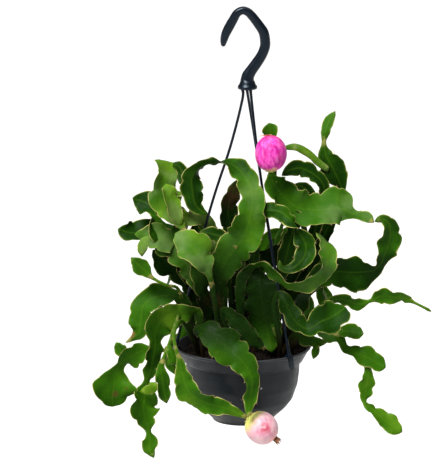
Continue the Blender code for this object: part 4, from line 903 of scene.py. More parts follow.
rough_chips = put(chip_tree, "GeometryNodeSetPosition", {0: loose.outputs[0],
                                                         "Offset": shove.outputs[0]})
close_tree(chip_tree, rough_chips.outputs[0], given, result)
print("chip tree nodes:", len(chip_tree.nodes))

# %% Scatter the chips
BARK_DARK = (0.003, 0.002, 0.0012)
BARK_BROWN = (0.015, 0.008, 0.004)
BARK_PALE = (0.028, 0.016, 0.008)

chip_paint = Paint("bark_chip_look", 0.85)
brown = chip_paint.ramp(chip_paint.noise(130.0, 1.0), 0.4, 0.62)
grain = chip_paint.noise(900.0, 4.0, (1.0, 1.0, 3.0))
pale = chip_paint.ramp(grain, 0.5, 0.75, 0.0, 0.5)
bark = chip_paint.coats(BARK_DARK, (brown, BARK_BROWN), (pale, BARK_PALE))
chip_paint.set(Base_Color=bark, Specular_IOR_Level=0.12)
chip_paint.bump(grain, 0.0004, 0.7)
chips = grown(field, chip_tree, {**CHIPS, "Finish": chip_paint.material})
finished("bark_chips", chips, chip_paint, "soil_dark")
print("chip faces:", len(chips.polygons))

# %% [markdown]
# ## The waved stems
# This cactus has no leaves. Its flat green stems do their work, and in this form they wave, curl and
# fork at odd places. Each stem below is a row of stations: right, up, back, half width and turn. A
# smooth curve runs through them, and a thin section is carried along it, thick at the midrib, fine at
# the margins, with toothed lobes cut from the margins and ripples that lift them.
# The stems are drawn as the viewer sees them, or as one sees them from the side that "view" names.
# "swing" turns every broad stretch of a stem so many degrees about its length and widens it to match,
# so that it catches the light as a leaning blade does and still looks as wide. Places are millimetres.

# %% The stations of every stem
STEMS = {
    "stem_loop": {
        "foot": (-14, -18),
        "main": [
            (-22, 30, -32, 4.5, 0), (-29, 60, -42, 8.5, 0), (-25, 80, -49, 13, 0),
            (-14, 99, -56, 18.5, 0), (0, 118, -66, 20, 0), (7, 138, -74, 18, 0),
            (10, 158, -76, 14, 0), (6, 176, -74, 13, 5), (-4, 190, -70, 12, 20),
            (-17, 198, -66, 10, 60), (-33, 199, -62, 8.5, 95), (-48, 194, -60, 10, 130),
            (-56, 182, -58, 12.5, 165), (-55, 167, -56, 12.5, 180), (-52, 154, -54, 9.5, 180),
            (-45, 146, -52, 5, 170), (-38, 143, -50, 1.5, 160),
        ],
        "branches": [
            [(-5, 107, -61, 3, 0), (-16, 114, -57, 4.5, 0), (-25, 119, -53, 8, 10),
             (-35, 122, -50, 8, 10), (-47, 124, -47, 1.5, 0)],
        ],
    },
    "stem_pale_left": {
        "swing": 30,
        "foot": (-36, -8),
        "main": [
            (-40, 30, -28, 6.5, 0), (-47, 70, -46, 8.5, 0), (-57, 105, -53, 5.5, 0),
            (-65, 127, -54, 3.4, 0), (-75, 141, -55, 11, 0), (-85, 156, -54, 16.5, 0),
            (-86, 172, -50, 15, -10), (-84, 182, -46, 11, -15), (-83, 191, -40, 14, -10),
            (-82, 201, -34, 16, 0),
        ],
        "branches": [
            [(-76, 197, -36, 3, 0), (-69, 195, -39, 5.5, 0), (-66, 186, -42, 6.5, 0),
             (-69, 176, -46, 2, 0)],
            [(-68, 132, -55, 2.6, 0), (-73, 142, -61, 7, 0), (-78, 155, -63, 10, 0),
             (-81, 167, -60, 9, 0), (-84, 176, -55, 2, 0)],
        ],
    },
    "stem_broad_left": {
        "swing": 22,
        "foot": (-44, 4),
        "main": [
            (-41, 30, -15, 6, 0), (-47, 60, -32, 8.5, 0), (-59, 86, -40, 14, 0),
            (-72, 105, -42, 18, 0), (-86, 119, -42, 19, 5), (-93, 131, -39, 15, 10),
            (-96, 141, -33, 6, 10), (-98, 149, -29, 13, 0), (-107, 156, -25, 13, -10),
            (-121, 161, -21, 3, -10),
        ],
        "branches": [
            [(-76, 108, -44, 12, 0), (-86, 115, -46, 16, 0), (-97, 119, -47, 14, 0),
             (-107, 121, -47, 8, 0), (-118, 121, -46, 2, 0)],
            [(-101, 118, -47, 3, 0), (-107, 113, -49, 5, 0), (-110, 105, -50, 5.5, 0),
             (-110, 97, -49, 1.5, 0)],
        ],
    },
    "stem_point_left": {
        "swing": 30,
        "foot": (-38, 16),
        "main": [
            (-50, 50, 4, 9, 0), (-72, 95, -6, 8, 0), (-90, 119, -10, 8, 0),
            (-104, 128, -14, 11, 0), (-116, 122, -18, 15, 10), (-127, 123, -20, 11, 10),
            (-137, 127, -22, 3, 0),
        ],
    },
    "stem_rolled": {
        "foot": (-22, 4),
        "main": [
            (-24, 50, -10, 8.5, 0), (-28, 95, -20, 8.5, 0), (-33, 122, -23, 7, 20),
            (-43, 137, -28, 8, 30), (-56, 138, -36, 8.5, 20), (-66, 142, -42, 9, -20),
            (-68, 152, -42, 4, -50),
        ],
    },
    "stem_bright": {
        "swing": 18,
        "foot": (-28, -26),
        "main": [
            (-28, 25, -47, 3.0, 0), (-32, 56, -60, 3.2, 0), (-37, 78, -67, 4, 0),
            (-43, 90, -71, 14, 5), (-51, 102, -71, 19, 5), (-61, 112, -67, 16, 8),
            (-69, 119, -63, 9, 10), (-74, 122, -60, 2.5, 10),
        ],
    },
    "stem_russet": {
        "swing": 25,
        "foot": (-4, 14),
        "main": [
            (-6, 60, -4, 8, 0), (-9, 105, -16, 9, 0), (-15, 132, -26, 11, 15),
            (-17, 150, -34, 12, 15), (-11, 168, -40, 7, 0), (-6, 181, -42, 1.5, 0),
        ],
    },
    "stem_low_left": {
        "swing": 25,
        "foot": (-50, -10),
        "main": [
            (-57, 25, -27, 4.5, 0), (-64, 44, -36, 8, 0), (-76, 53, -36, 11.5, 10),
            (-96, 52, -39, 13, 5), (-109, 42, -40, 13, 0), (-111, 27, -40, 12.5, -5),
            (-113, 15, -39, 9, -5), (-120, 8, -37, 3.5, 0), (-128, 3, -36, 1.5, 0),
        ],
        "branches": [
            [(-66, 49, -34, 2.2, 0), (-72, 63, -43, 1.8, 0), (-84, 66, -50, 1.8, 0),
             (-99, 74, -54, 2.2, 0), (-106, 81, -56, 7, 0), (-113, 87, -58, 9, 5),
             (-122, 96, -58, 1.5, 0)],
        ],
    },
    "stem_trailing_left": {
        "swing": -28,
        "foot": (-44, -28),
        "main": [
            (-46, 20, -42, 3.6, 0), (-50, 37, -50, 6, 0), (-64, 36, -56, 9, 0),
            (-79, 32, -58, 15, 0), (-90, 26, -58, 17, 0), (-96, 14, -56, 12, 0),
            (-96, 4, -56, 6.5, 0), (-97, -6, -56, 11.5, 5), (-99, -17, -54, 9.5, 5),
            (-102, -29, -52, 7, 0), (-105, -38, -50, 3.4, 0), (-106, -47, -50, 9, 0),
            (-108, -59, -52, 16, 0), (-109, -70, -54, 17, -5), (-105, -84, -52, 8.5, 0),
            (-103, -94, -50, 3, 10), (-101, -103, -50, 8, 20), (-102, -112, -50, 6.5, 20),
            (-97, -122, -48, 1.5, 0),
        ],
        "branches": [
            [(-101, -3, -57, 3, 0), (-110, -5, -60, 8, 0), (-121, -10, -62, 13.5, 0),
             (-130, -15, -62, 10, 0), (-136, -23, -60, 6.5, 0), (-139, -33, -60, 14, 0),
             (-141, -44, -61, 22.5, 5), (-142, -56, -61, 17, 5), (-142, -66, -60, 8.5, 0)],
            [(-126, -10, -61.5, 3, 0), (-133, -4, -63, 6.5, 0), (-138, 4, -64, 3, 0)],
            [(-70, 34, -58, 2, 0), (-74, 22, -64, 2.2, 0), (-79, 6, -68, 1.9, 0),
             (-85, -10, -70, 2, 0), (-89, -22, -70, 4, 0), (-88, -36, -70, 8, 0),
             (-86, -50, -68, 8, 0), (-83, -62, -66, 1.5, 0)],
            [(-81, 1, -69.2, 1.6, 0), (-79, -6, -71, 5, 0), (-77, -14, -72, 5.5, 0),
             (-82, -20, -72, 1.5, 0)],
            [(-102, -42, -51, 2.2, 0), (-96, -42, -56, 3, 0), (-98, -46, -60, 5, 0),
             (-105, -48, -61, 5, 0), (-112, -50, -60, 1.5, 0)],
        ],
    },
    "stem_front_low": {
        "swing": 25,
        "foot": (-48, -20),
        "main": [
            (-58, 14, -44, 2.8, 0), (-68, 27, -64, 2.2, 0), (-75, 14, -75, 2.0, 0),
            (-73, -2, -78, 2.0, 0), (-69, -14, -76, 3.5, 0), (-65, -32, -72, 9, 0),
            (-57, -51, -68, 14, 0), (-40, -61, -66, 11.5, 0), (-19, -67, -64, 7.5, 0),
            (-3, -74, -60, 3.6, 0), (4.6, -78.4, -58, 2.4, 0),
        ],
    },
    "stem_front_broad": {
        "swing": -18,
        "foot": (-26, -40),
        "main": [
            (-38, 6, -54, 3.4, 0), (-49, 15, -64, 6, 0), (-41, 17, -74, 11, 0),
            (-30, 9, -80, 16, 0), (-17, -2, -84, 20.5, 0), (-4, -13, -88, 15, 0),
            (6, -27, -88, 10.5, 0), (9, -41, -86, 9.5, 0), (7, -54, -82, 8.2, 0),
            (6, -66, -79, 5, 0), (5, -77, -78, 1.5, 0),
        ],
    },
    "stem_narrow": {
        "swing": 18,
        "foot": (-10, -34),
        "main": [
            (-18, 22, -52, 3.2, 0), (-21, 37, -60, 5, 0), (-11, 31, -68, 9, 0),
            (2, 17, -70, 9.5, 0), (14, 5, -68, 7, 0), (23, -4, -64, 1.5, 0),
        ],
    },
    "stem_centre": {
        "swing": 12,
        "foot": (12, -14),
        "main": [
            (15, 40, -17, 6, 0), (15, 66, -23, 9, 0), (17, 80, -31, 11, 0),
            (18, 76, -42, 16, 0), (19, 60, -47, 20.5, 0), (22, 39, -45, 20.5, 0),
            (25, 21, -39, 18.5, 0), (29, 6, -37, 11, 0), (31, -4, -37, 5, 0),
            (32, -8, -37, 1.5, 0),
        ],
        "branches": [[(34, 24, -40, 4, 0), (38, 14, -40, 4.8, 0), (39.5, 6, -39.5, 1.5, 0)]],
    },
    "stem_big_right": {
        "swing": -22,
        "foot": (30, -4),
        "main": [
            (36, 50, -22, 6, 0), (47, 95, -38, 9, 0), (55, 128, -51, 9, 0),
            (57, 148, -58, 8, 0),
        ],
        "branches": [
            [(29.6, 187.6, -84, 2.6, 0), (31, 179, -76, 10, 0), (40, 166, -62, 17, 0),
             (57, 151, -57, 18.5, 0), (80, 147, -55, 20, 0), (98, 149, -54, 21, -5),
             (109, 148, -53, 19, -5), (117, 144, -52, 9, -5), (124, 142, -52, 5, 0),
             (134, 140, -54, 6.5, 0), (142, 134, -58, 1.5, 0)],
            [(33, 178, -73, 3, 0), (33, 192, -63, 3.4, 0), (32, 208, -60, 3.6, 0),
             (31, 223, -62, 5.5, 0), (30, 230, -64, 8.5, 0), (29, 237, -65, 8, 0),
             (28, 242, -65, 3.5, 0)],
        ],
    },
    "stem_ring_right": {
        "swing": 32,
        "foot": (46, 6),
        "main": [
            (60, 40, -8, 8, 0), (74, 66, -20, 10, 0), (90, 80, -26, 13, 0),
            (104, 81, -28, 17, 0), (120, 80, -30, 18, 0), (133, 81, -32, 17, 0),
            (143, 83, -33, 10, 0), (150, 90, -34, 8, 0), (154, 100, -36, 10, 0),
            (158, 111, -38, 11.5, 0), (160, 123, -41, 11.5, 0), (158, 133, -45, 7.5, 0),
            (151, 138, -48, 5, -20), (143, 135, -50, 2, -30),
        ],
    },
    "stem_curve": {
        "foot": (10, 2),
        "main": [
            (12, 60, -16, 5, 150), (12, 105, -34, 6.5, 170), (12, 131, -57, 6, 180),
            (22, 146, -73, 8.5, 180), (40, 145, -79, 9, 165), (52, 135, -82, 9.5, 120),
            (62, 122, -82, 10, 50), (68, 107, -81, 12, 5), (63, 93, -83, 10, 0),
            (52, 84, -85, 6, 10), (41, 85, -84, 4, 20), (39, 93, -82, 1.5, 20),
        ],
    },
    "stem_bowl": {
        "foot": (-2, -27),
        "main": [
            (-3, 38, -48, 4.5, 0), (-3, 66, -61, 6, 0), (4, 83, -71, 7, 30),
            (18, 90, -80, 8.5, 60), (32, 81, -88, 9, 65), (45, 69, -90, 9, 65),
            (61, 66, -90, 9.5, 52), (76, 71, -86, 11, 42), (87, 82, -79, 12.5, 35),
            (91, 95, -71, 11.5, 35), (89, 108, -65, 9, 50), (83, 118, -62, 5, 60),
            (79, 123, -61, 2, 60),
        ],
    },
    "stem_smile": {
        "swing": -18,
        "foot": (41, -33),
        "main": [
            (38, 14, -58, 3.0, 0), (34, 40, -66, 3.4, 0), (37, 55, -71, 4, 0),
            (43, 52, -77, 7.5, 0), (48, 40, -81, 10.5, 0), (56, 27, -84, 11, 0),
            (69, 19, -85, 9.5, 0), (84, 27, -85, 15, 0), (96, 32, -83, 17.5, 0),
            (105, 38, -80, 14, 0), (111, 42, -76, 5, 0),
        ],
    },
    "stem_rim_right": {
        "swing": 20,
        "foot": (43, -26),
        "main": [
            (50, 4, -36, 3.0, 0), (58, 12, -48, 4, 0), (68, 7, -60, 7, 0),
            (80, 4, -62, 5.5, 0), (91, 4, -60, 1.5, 0),
        ],
        "branches": [
            [(76, 4, -62, 2, 0), (79, 0, -64, 3.5, 0), (78, -7, -64, 4.5, 0),
             (76, -14, -62, 1.5, 0)],
        ],
    },
    "stem_arch_right": {
        "foot": (32, 8),
        "main": [
            (46, 60, -8, 7.5, 0), (72, 110, -18, 7, 0), (87, 148, -32, 6.5, 0),
            (89, 168, -38, 7, 0), (84, 180, -43, 8, 15), (74, 188, -46, 9.5, 20),
            (62, 193, -48, 9.5, 20), (51, 191, -49, 7, 10), (42, 185, -49, 1.5, 0),
        ],
        "branches": [
            [(86, 150, -33, 2.5, 0), (76, 161, -39, 6, 0), (67, 171, -42, 7, 0),
             (56, 176, -44, 2, 0)],
        ],
    },
    "stem_upright_right": {
        "swing": -35,
        "foot": (44, 22),
        "main": [
            (64, 60, 8, 9, 0), (86, 110, 0, 9, 0), (102, 148, -12, 6, 0),
            (109, 169, -18, 5.5, 0), (105, 181, -21, 10.5, 0), (98, 195, -23, 13, 0),
            (90, 209, -24, 7, 30), (88.5, 221, -24, 2.6, 60), (90, 232, -22, 4.8, 20),
            (94.5, 245, -20, 5.6, 0), (101, 256, -18, 1.5, 0),
        ],
        "branches": [
            [(93, 192, -23, 3, 0), (83, 199, -28, 4.2, 25), (70, 210, -37, 4.4, 38),
             (57, 216, -44, 4.4, 38), (43, 215, -50, 1.8, 30)],
        ],
    },
    "stem_trailing_right": {
        "swing": 38,
        "foot": (52, -6),
        "main": [
            (66, 24, -22, 3.0, 0), (88, 44, -34, 4, 0), (102, 51, -38, 5, 0),
            (113, 50, -40, 6.5, 0), (125, 46, -42, 7, 0), (138, 48.5, -44, 2, 0),
            (149, 54, -46, 7, 0), (164, 54, -46, 7, 0), (177, 52, -46, 6.5, 0),
            (184, 48, -46, 2.2, 0), (198, 41, -44, 1.6, 0), (205, 37, -44, 2.4, 0),
        ],
    },
    "stem_low_right": {
        "swing": -30,
        "foot": (50, -20),
        "main": [
            (66, 16, -30, 3.0, 0), (80, 18, -40, 4, 0), (92, 12, -46, 8, 0),
            (103, 8, -48, 6, 0), (112, -4, -48, 6, 0), (121, -8, -50, 9, 0),
            (134, -13, -50, 10, 0), (147, -20, -50, 8.5, 0), (155, -24, -50, 4, 0),
        ],
        "branches": [
            [(99, 11, -47, 2, 0), (108, 15, -50, 5.5, 0), (116, 15, -51, 8, 0),
             (124, 14, -52, 8, 0), (131, 13, -52, 3, 0)],
            [(133, -17, -50, 3, 0), (136, -28, -50, 4.5, 0), (134, -42, -50, 8.5, 0),
             (132, -54, -50, 6, 0), (132, -62, -50, 2.4, 0), (139, -69, -50, 6, 0),
             (150, -78, -50, 8, 0), (163, -88, -50, 8.5, 0), (173, -94, -50, 3.5, 0)],
        ],
    },
    # The dark leaves between the front and the far side
    "stem_inner": {
        "swing": 25,
        "foot": (4, 32),
        "main": [
            (6, 20, 26, 8, 0), (8, 50, 14, 11, 0), (5, 72, 6, 11, 0), (9, 87, 0, 12, 0),
            (22, 95, -4, 12, 0),
            (38, 98, -5, 13, 0), (51, 104, -6, 12, 0), (57, 116, -6, 7, 0),
            (56, 126, -6, 1.5, 0),
        ],
    },
    "stem_inner_left": {
        "swing": -20,
        "foot": (-26, 30),
        "main": [
            (-30, 24, 25, 7, 0), (-38, 42, 20, 10, 0), (-56, 66, 14, 11, 0), (-68, 80, 10, 14, 0),
            (-82, 90, 6, 15, 0), (-93, 98, 2, 10, 0), (-99, 104, 0, 1.5, 0),
        ],
    },
    # High stems that face the sides
    "stem_high_right": {
        "view": 100,
        "foot": (24, 28),
        "main": [
            (22, 50, -44, 3.0, 0), (22, 92, -62, 5, 0), (17, 118, -74, 10, 0),
            (7, 132, -84, 14, 0), (-6, 125, -90, 14, 0), (-15, 109, -90, 12, 0),
            (-18, 94, -88, 7, 0), (-25, 84, -84, 1.5, 0),
        ],
    },
    "stem_high_left": {
        "view": 260,
        "foot": (-26, 22),
        "main": [
            (-16, 50, -44, 3.0, 0), (-18, 92, -60, 5, 0), (-18, 114, -72, 8.5, 0),
            (-11, 128, -82, 10, 0), (3, 124, -87, 11, 0), (11, 108, -88, 10, 0),
            (12, 92, -87, 1.5, 0),
        ],
    },
    # The far side of the plant
    "stem_back_broad": {
        "view": 180,
        "foot": (-8, 38),
        "main": [
            (10, 24, -49, 6, 0), (13, 55, -62, 9, 0), (22, 80, -78, 12, 0),
            (34, 78, -92, 15, 0), (44, 58, -100, 15, 0), (48, 34, -102, 12, 0),
            (46, 12, -100, 8, 0), (50, -6, -100, 12, 0), (54, -28, -98, 10, 0),
            (50, -48, -96, 1.5, 0),
        ],
    },
    "stem_back_arch": {
        "view": 180,
        "foot": (20, 34),
        "main": [
            (-17, 24, -52, 6, 0), (-18, 58, -68, 8, 0), (-30, 86, -84, 11, 0),
            (-48, 86, -92, 13.5, 0), (-66, 76, -92, 13, 0), (-78, 58, -88, 11, 0),
            (-84, 40, -82, 7, 0), (-91, 22, -78, 9, 0), (-96, 6, -76, 8, 0),
            (-98, -8, -74, 1.5, 0),
        ],
    },
    "stem_back_trailing_left": {
        "view": 180,
        "foot": (-26, 44),
        "main": [
            (30, 14, -60, 3.0, 0), (40, 26, -74, 5, 0), (49, 20, -86, 10, 0),
            (56, 4, -92, 13, 0), (62, -14, -93, 12, 0), (66, -32, -91, 7, 0),
            (74, -46, -89, 10, 0), (80, -64, -87, 10, 0), (76, -80, -85, 1.5, 0),
        ],
    },
    "stem_back_trailing_right": {
        "view": 180,
        "foot": (42, 31),
        "main": [
            (-50, 18, -54, 3.0, 0), (-56, 30, -70, 5, 0), (-62, 26, -84, 11, 0),
            (-68, 10, -92, 13, 0), (-68, -8, -93, 11, 0), (-62, -26, -91, 7, 0),
            (-54, -44, -90, 10, 0), (-46, -62, -88, 10, 0), (-48, -78, -86, 1.5, 0),
        ],
    },
    "stem_far_left": {
        "view": 225,
        "foot": (-16, 38),
        "main": [
            (-11, 30, -46, 3.0, 0), (-13, 64, -60, 5, 0), (-9, 88, -72, 10, 0),
            (1, 101, -84, 13.5, 0), (10, 95, -94, 13.5, 0), (13, 79, -98, 10, 0),
            (12, 65, -97, 1.5, 0),
        ],
    },
    "stem_side_right": {
        "view": 90,
        "foot": (38, 36),
        "main": [
            (36, 26, -50, 3.0, 0), (37, 50, -60, 5, 0), (41, 64, -71, 8.5, 0),
            (48, 62, -84, 9.5, 0), (54, 46, -93, 12, 0), (55, 27, -97, 8, 0),
            (51, 8, -97, 11, 0), (52, -10, -95, 10, 0), (56, -26, -92, 1.5, 0),
        ],
    },
    "stem_side_left": {
        "view": 270,
        "foot": (-40, 34),
        "main": [
            (-36, 26, -54, 3.0, 0), (-42, 48, -66, 5, 0), (-48, 56, -76, 11, 0),
            (-56, 50, -88, 13, 0), (-60, 34, -93, 12, 0), (-62, 16, -94, 8, 0),
            (-64, -2, -94, 11, 0), (-62, -22, -94, 12, 0), (-58, -42, -92, 7, 0),
            (-60, -58, -90, 9, 0), (-64, -74, -88, 1.5, 0),
        ],
    },
}
stations = sum(len(plan["main"]) for plan in STEMS.values())
print("stems:", len(STEMS), "stations in their main lines:", stations)

# %% [markdown]
# ## One blade
# A blade needs three directions at each step: along it, across it, and out of its face. Across is level
# in the view unless the station turns it, and it is carried smoothly round every bend, so that the
# blade never flips over. Each side's margin has its own run of lobes, rising slowly and cut back
# sharply, as the notches of the real stem are.

# %% Sizes of the blade
RIB_THICK = 2.4
RIB_REACH = 2.6
EDGE_THICK = 0.9
EDGE_SHARE = 0.45
EDGE_LEAST = 0.6
THIN_WIDTH = 3.2
BROADEN = 5.0
SWING_IN = 3.0
STOUT = 1.6
HALF_LEAST = 0.5
PEG_DEPTH = 6.0
PEG_CLEAR = 1.5
PEG_RADIUS = 2.3
STALK_SHARE = 0.85
BRANCH_AGE = 120.0
FINE_STEP = 1.6
THIN_STEP = 3.6
BLUNT = 5.0
TWIST = 10.0
TWIST_LENGTH = 83.0
FOLD_LIMIT = 0.8
REACH_RANGE = (1.5, 60.0)
CUP = 0.24
ANY_PHASE = (0, 6)
BEND_SMOOTH = 6
REACH_SMOOTH = 4
STATIONS = (1.0, 0.96, 0.86, 0.68, 0.46, 0.24, 0.09, 0.0, -0.09, -0.24, -0.46, -0.68, -0.86, -0.96, -1.0)
BLADE_SIDES = 2 * len(STATIONS) - 2

print("points round a blade:", BLADE_SIDES)

# %% [markdown]
# ## The notched margin
# Every lobe has a length, a skew and a depth of its own, dealt with the fixed seed of its stem. A sine
# would make the margin too even. Waves of a few centimetres and ruffles as long as a lobe lift it out
# of the blade's face, and small nicks roughen it.

# %% Notches along a margin
LOBE_RANGE = (13.0, 25.0)
LOBE_SKEW = (1.0, 2.4)
LOBE_POWER = (2.2, 5.5)
LOBE_DEPTH = (0.35, 1.25)
NOTCH = 0.25
FRAY = 0.35
FRAY_STEP = 2.6
WAVE_LENGTH = 45.6
WAVE_SHARE = 0.25
RUFFLE_HEIGHT = 1.7
RUFFLE_FADE = 37.0


def lobes(travelled, draw):
    """How far the margin reaches at each distance, from about 0 in a notch to 1, the count of lobes
    up to there, and where the notches are."""
    notches = [-draw.uniform(0, LOBE_RANGE[1])]
    while notches[-1] < travelled[-1] + 1:
        notches.append(notches[-1] + draw.uniform(*LOBE_RANGE))
    run = np.interp(travelled, notches, range(len(notches)))
    each = run.astype(int)
    skew = np.array([draw.uniform(*LOBE_SKEW) for _ in notches])[each]
    power = np.array([draw.uniform(*LOBE_POWER) for _ in notches])[each]
    scallop = 1 - np.abs(2 * (run % 1.0) ** skew - 1) ** power
    depth = np.interp(run, range(len(notches)), [draw.uniform(*LOBE_DEPTH) for _ in notches])
    return 1 - (1 - scallop) * depth, run, notches[1:-1]


def frayed(travelled, draw):
    """Small uneven nicks along a margin, in millimetres."""
    steps = np.arange(0, travelled[-1] + FRAY_STEP, FRAY_STEP)
    return np.interp(travelled, steps, [draw.uniform(-FRAY, FRAY) for _ in steps])


def margin(travelled, half, broad, sign, phase, curl, draw):
    """How far one side reaches, folds and waves at each step, and where its notches are."""
    lobe, run, notches = lobes(travelled, draw)
    reach = half * (1 - NOTCH * broad * (1 - lobe)) + broad * frayed(travelled, draw)
    limit = FOLD_LIMIT / np.maximum(sign * curl, 1e-6)
    reach = np.minimum(reach, level(np.clip(limit, *REACH_RANGE), REACH_SMOOTH))
    swell = np.sin(2 * math.pi * (travelled / WAVE_LENGTH + phase * 0.5))
    ruffle = np.cos(2 * math.pi * run) * np.sin(travelled / RUFFLE_FADE + draw.uniform(*ANY_PHASE))
    fold = broad * CUP * reach
    wave = broad * (WAVE_SHARE * half * swell + RUFFLE_HEIGHT * ruffle)
    return reach, fold, wave, notches


print("a lobe run:", [round(float(v), 2) for v in lobes(np.arange(0, 40, 5.0), random.Random(1))[0]])

# %% [markdown]
# ## The blade's path
# A stem's foot stands in the soil as a thin round peg, so two more stations lead down into it. Steps
# are short where the blade is broad, because its notches need them, and longer on bare stalks.

# %% Directions along the blade
FLAT_LEAST = 0.25
FINE_FROM = 2.6
FINE_WITHIN = 2.0
ALONG_SMOOTH = 3
ACROSS_SMOOTH = 40


def station_rows(rows, view, swing, foot):
    """Places, half widths and turns of a blade, with two more in the soil where it has a foot."""
    controls = []
    for right, up, back, half, turn in rows:
        share = min(max((half - THIN_WIDTH) / SWING_IN, 0.0), 1.0)
        wider = half / math.cos(math.radians(swing * share))
        controls.append((*at(right, up, back, view), wider, turn + swing * share))
    if foot:
        ground = soil_top(*foot)
        controls.insert(0, (*foot, ground + PEG_CLEAR, PEG_RADIUS, rows[0][4]))
        controls.insert(0, (*foot, ground - PEG_DEPTH, PEG_RADIUS, rows[0][4]))
    return controls


def blade_step(row):
    """The length of a step where the blade has this row's half width."""
    share = min(max((row[3] - FINE_FROM) / FINE_WITHIN, 0.0), 1.0)
    return THIN_STEP + (FINE_STEP - THIN_STEP) * share


def directions(places, turns, looking):
    """Unit vectors along and across the blade at each step, turned by so many degrees."""
    alongs = level(np.gradient(places, axis=0), ALONG_SMOOTH)
    alongs /= np.linalg.norm(alongs, axis=1)[:, None]
    acrosses = []
    # Black nursery plastic isn't black: it is a cool dark grey with a soft sheen, dusty in places, darker
    # low down with painted shade and paler in a band just under the top of the rim. Each of these is one
    # coat over the grey, and the fine rings from the mould are a bump. The inside is told apart by the
    # way its points face. It is darkened with painted shade, because little light reaches it on the real
    # pot.
    before = None
    for along, turn in zip(alongs, turns):
        flat = np.cross(looking, along)
        size = np.linalg.norm(flat)
        if before is not None and size < FLAT_LEAST:
            flat = before - along * before.dot(along)
        elif before is not None and flat.dot(before) < 0:
            flat = -flat
        flat = flat / np.linalg.norm(flat)
        before = flat
        turn = math.radians(turn)
        acrosses.append(flat * math.cos(turn) + np.cross(along, flat) * math.sin(turn))
    acrosses = level(np.array(acrosses), ACROSS_SMOOTH)
    acrosses -= alongs * np.sum(acrosses * alongs, axis=1)[:, None]
    acrosses /= np.linalg.norm(acrosses, axis=1)[:, None]
    return alongs, acrosses


print("a broad blade's step:", blade_step((0, 0, 0, 10)), "a stalk's:", blade_step((0, 0, 0, 2)))

# %% [markdown]
# ## Rings and faces of a blade
# A thin round stalk and a broad flat blade share one section. The number "broad" goes from 0 to 1 as
# the stem widens, and blends one into the other. Every ring has the same count of points, so plain
# quads join two rings, and a row of faces from margin to margin closes each end.


# %% Points and faces of the section
def section(places, acrosses, outs, sides, middle, edge, broad):
    """Rings of points, and how far each point lies from its margin and from the rib."""
    columns = []
    from_rim = []
    from_rib = []
    for face in (1, -1):
        for u in STATIONS if face == 1 else STATIONS[-2:0:-1]:
            reach, fold, wave = sides[1 if u >= 0 else -1]
            size = abs(u)
            plate = edge * (1 - size**6) + (middle - edge) * np.exp(-((size * reach / RIB_REACH) ** 2))
            stalk = middle * math.sqrt(1 - u * u)
            thick = (plate * broad + stalk * (1 - broad)) / 2
            move = acrosses * (u * reach)[:, None]
            move = move + outs * (fold * size**1.2 + wave * size**2 + face * thick)[:, None]
            columns.append(places + move)
            from_rim.append((1 - size) * reach)
            from_rib.append(u * reach)
    return [np.stack(values, axis=1) for values in (columns, from_rim, from_rib)]


def blade_faces(count):
    """Quads round the blade, and a row of faces across each of its ends."""
    faces = []
    for k in range(count - 1):
        low = k * BLADE_SIDES
        for j in range(BLADE_SIDES):
            after = (j + 1) % BLADE_SIDES
            faces.append((low + j, low + after, low + BLADE_SIDES + after, low + BLADE_SIDES + j))
    for row in (0, (count - 1) * BLADE_SIDES):
        for j in range(len(STATIONS) - 1):
            back = (BLADE_SIDES - j) % BLADE_SIDES
            under = BLADE_SIDES - j - 1
            if j == 0:
                faces.append((row, row + 1, row + under))
            elif under > j + 1:
                faces.append((row + j, row + j + 1, row + under, row + back))
            else:
                faces.append((row + j, row + j + 1, row + back))
    return faces


print("faces of a blade of ten rings:", len(blade_faces(10)))

# %% [markdown]
# ## Sweeping a blade
# The blade's width comes from its stations and is blunted at the tip, where real stems end round.
# A slow twist sways its face. Where it curls sharply, its inner margin is drawn in, because it would
# otherwise fold through itself. The places of the notches are kept for the areoles.

# %% Sweep one blade
AREOLE_FROM = 0.3
AREOLE_LEAN = 0.8
ENDS_FREE = 3
notch_points = []


def blade(rows, draw, view=0.0, swing=0.0, foot=None, start=0):
    """Points, faces and the numbers that the paint reads, for one blade."""
    travelled, read = spline(station_rows(rows, view, swing, foot), blade_step)
    places = read[:, :3]
    twist = TWIST * np.sin(2 * math.pi * travelled / TWIST_LENGTH + draw.uniform(*ANY_PHASE))
    alongs, acrosses = directions(places, read[:, 4] + twist, np.array(away_from(view)))
    outs = np.cross(acrosses, alongs)
    to_end = np.clip((travelled[-1] - travelled) / BLUNT, 0, 1)
    half = np.maximum(read[:, 3] * np.sqrt(1 - (1 - to_end) ** 2), HALF_LEAST)
    broad = np.clip((half - THIN_WIDTH) / BROADEN, 0, 1)
    middle = (2 * PEG_RADIUS * STALK_SHARE) * (1 - broad) + RIB_THICK * broad
    middle = np.minimum(middle, STOUT * half)
    edge = np.maximum((middle * EDGE_SHARE) * (1 - broad) + EDGE_THICK * broad, EDGE_LEAST)
    bend = level(np.gradient(alongs, axis=0) / np.gradient(travelled)[:, None], BEND_SMOOTH)
    curl = np.sum(bend * acrosses, axis=1)
    sides = {}
    for sign, phase in ((1, start), (-1, start + 1)):
        reach, fold, wave, notches = margin(travelled, half, broad, sign, phase, curl, draw)
        sides[sign] = (reach, fold, wave)
        lift = fold + wave
        for notch in notches:
            k = int(np.searchsorted(travelled, notch))
            if ENDS_FREE <= k < len(half) - ENDS_FREE and broad[k] > AREOLE_FROM:
                k -= 1
                place = places[k] + acrosses[k] * (sign * reach[k]) + outs[k] * lift[k]
                notch_points.append((place, acrosses[k] * sign + alongs[k] * AREOLE_LEAN))
    grid, from_rim, from_rib = section(places, acrosses, outs, sides, middle, edge, broad)
    from_foot = travelled if foot else travelled + BRANCH_AGE
    numbers = {
        "rim_mm": from_rim.ravel(),
        "rib_mm": from_rib.ravel(),
        "foot_mm": np.repeat(from_foot, BLADE_SIDES),
        "slender": np.repeat(1 - broad, BLADE_SIDES),
    }
    return grid.reshape(-1, 3), blade_faces(len(places)), numbers


print("a blade sways by", TWIST, "degrees each way")
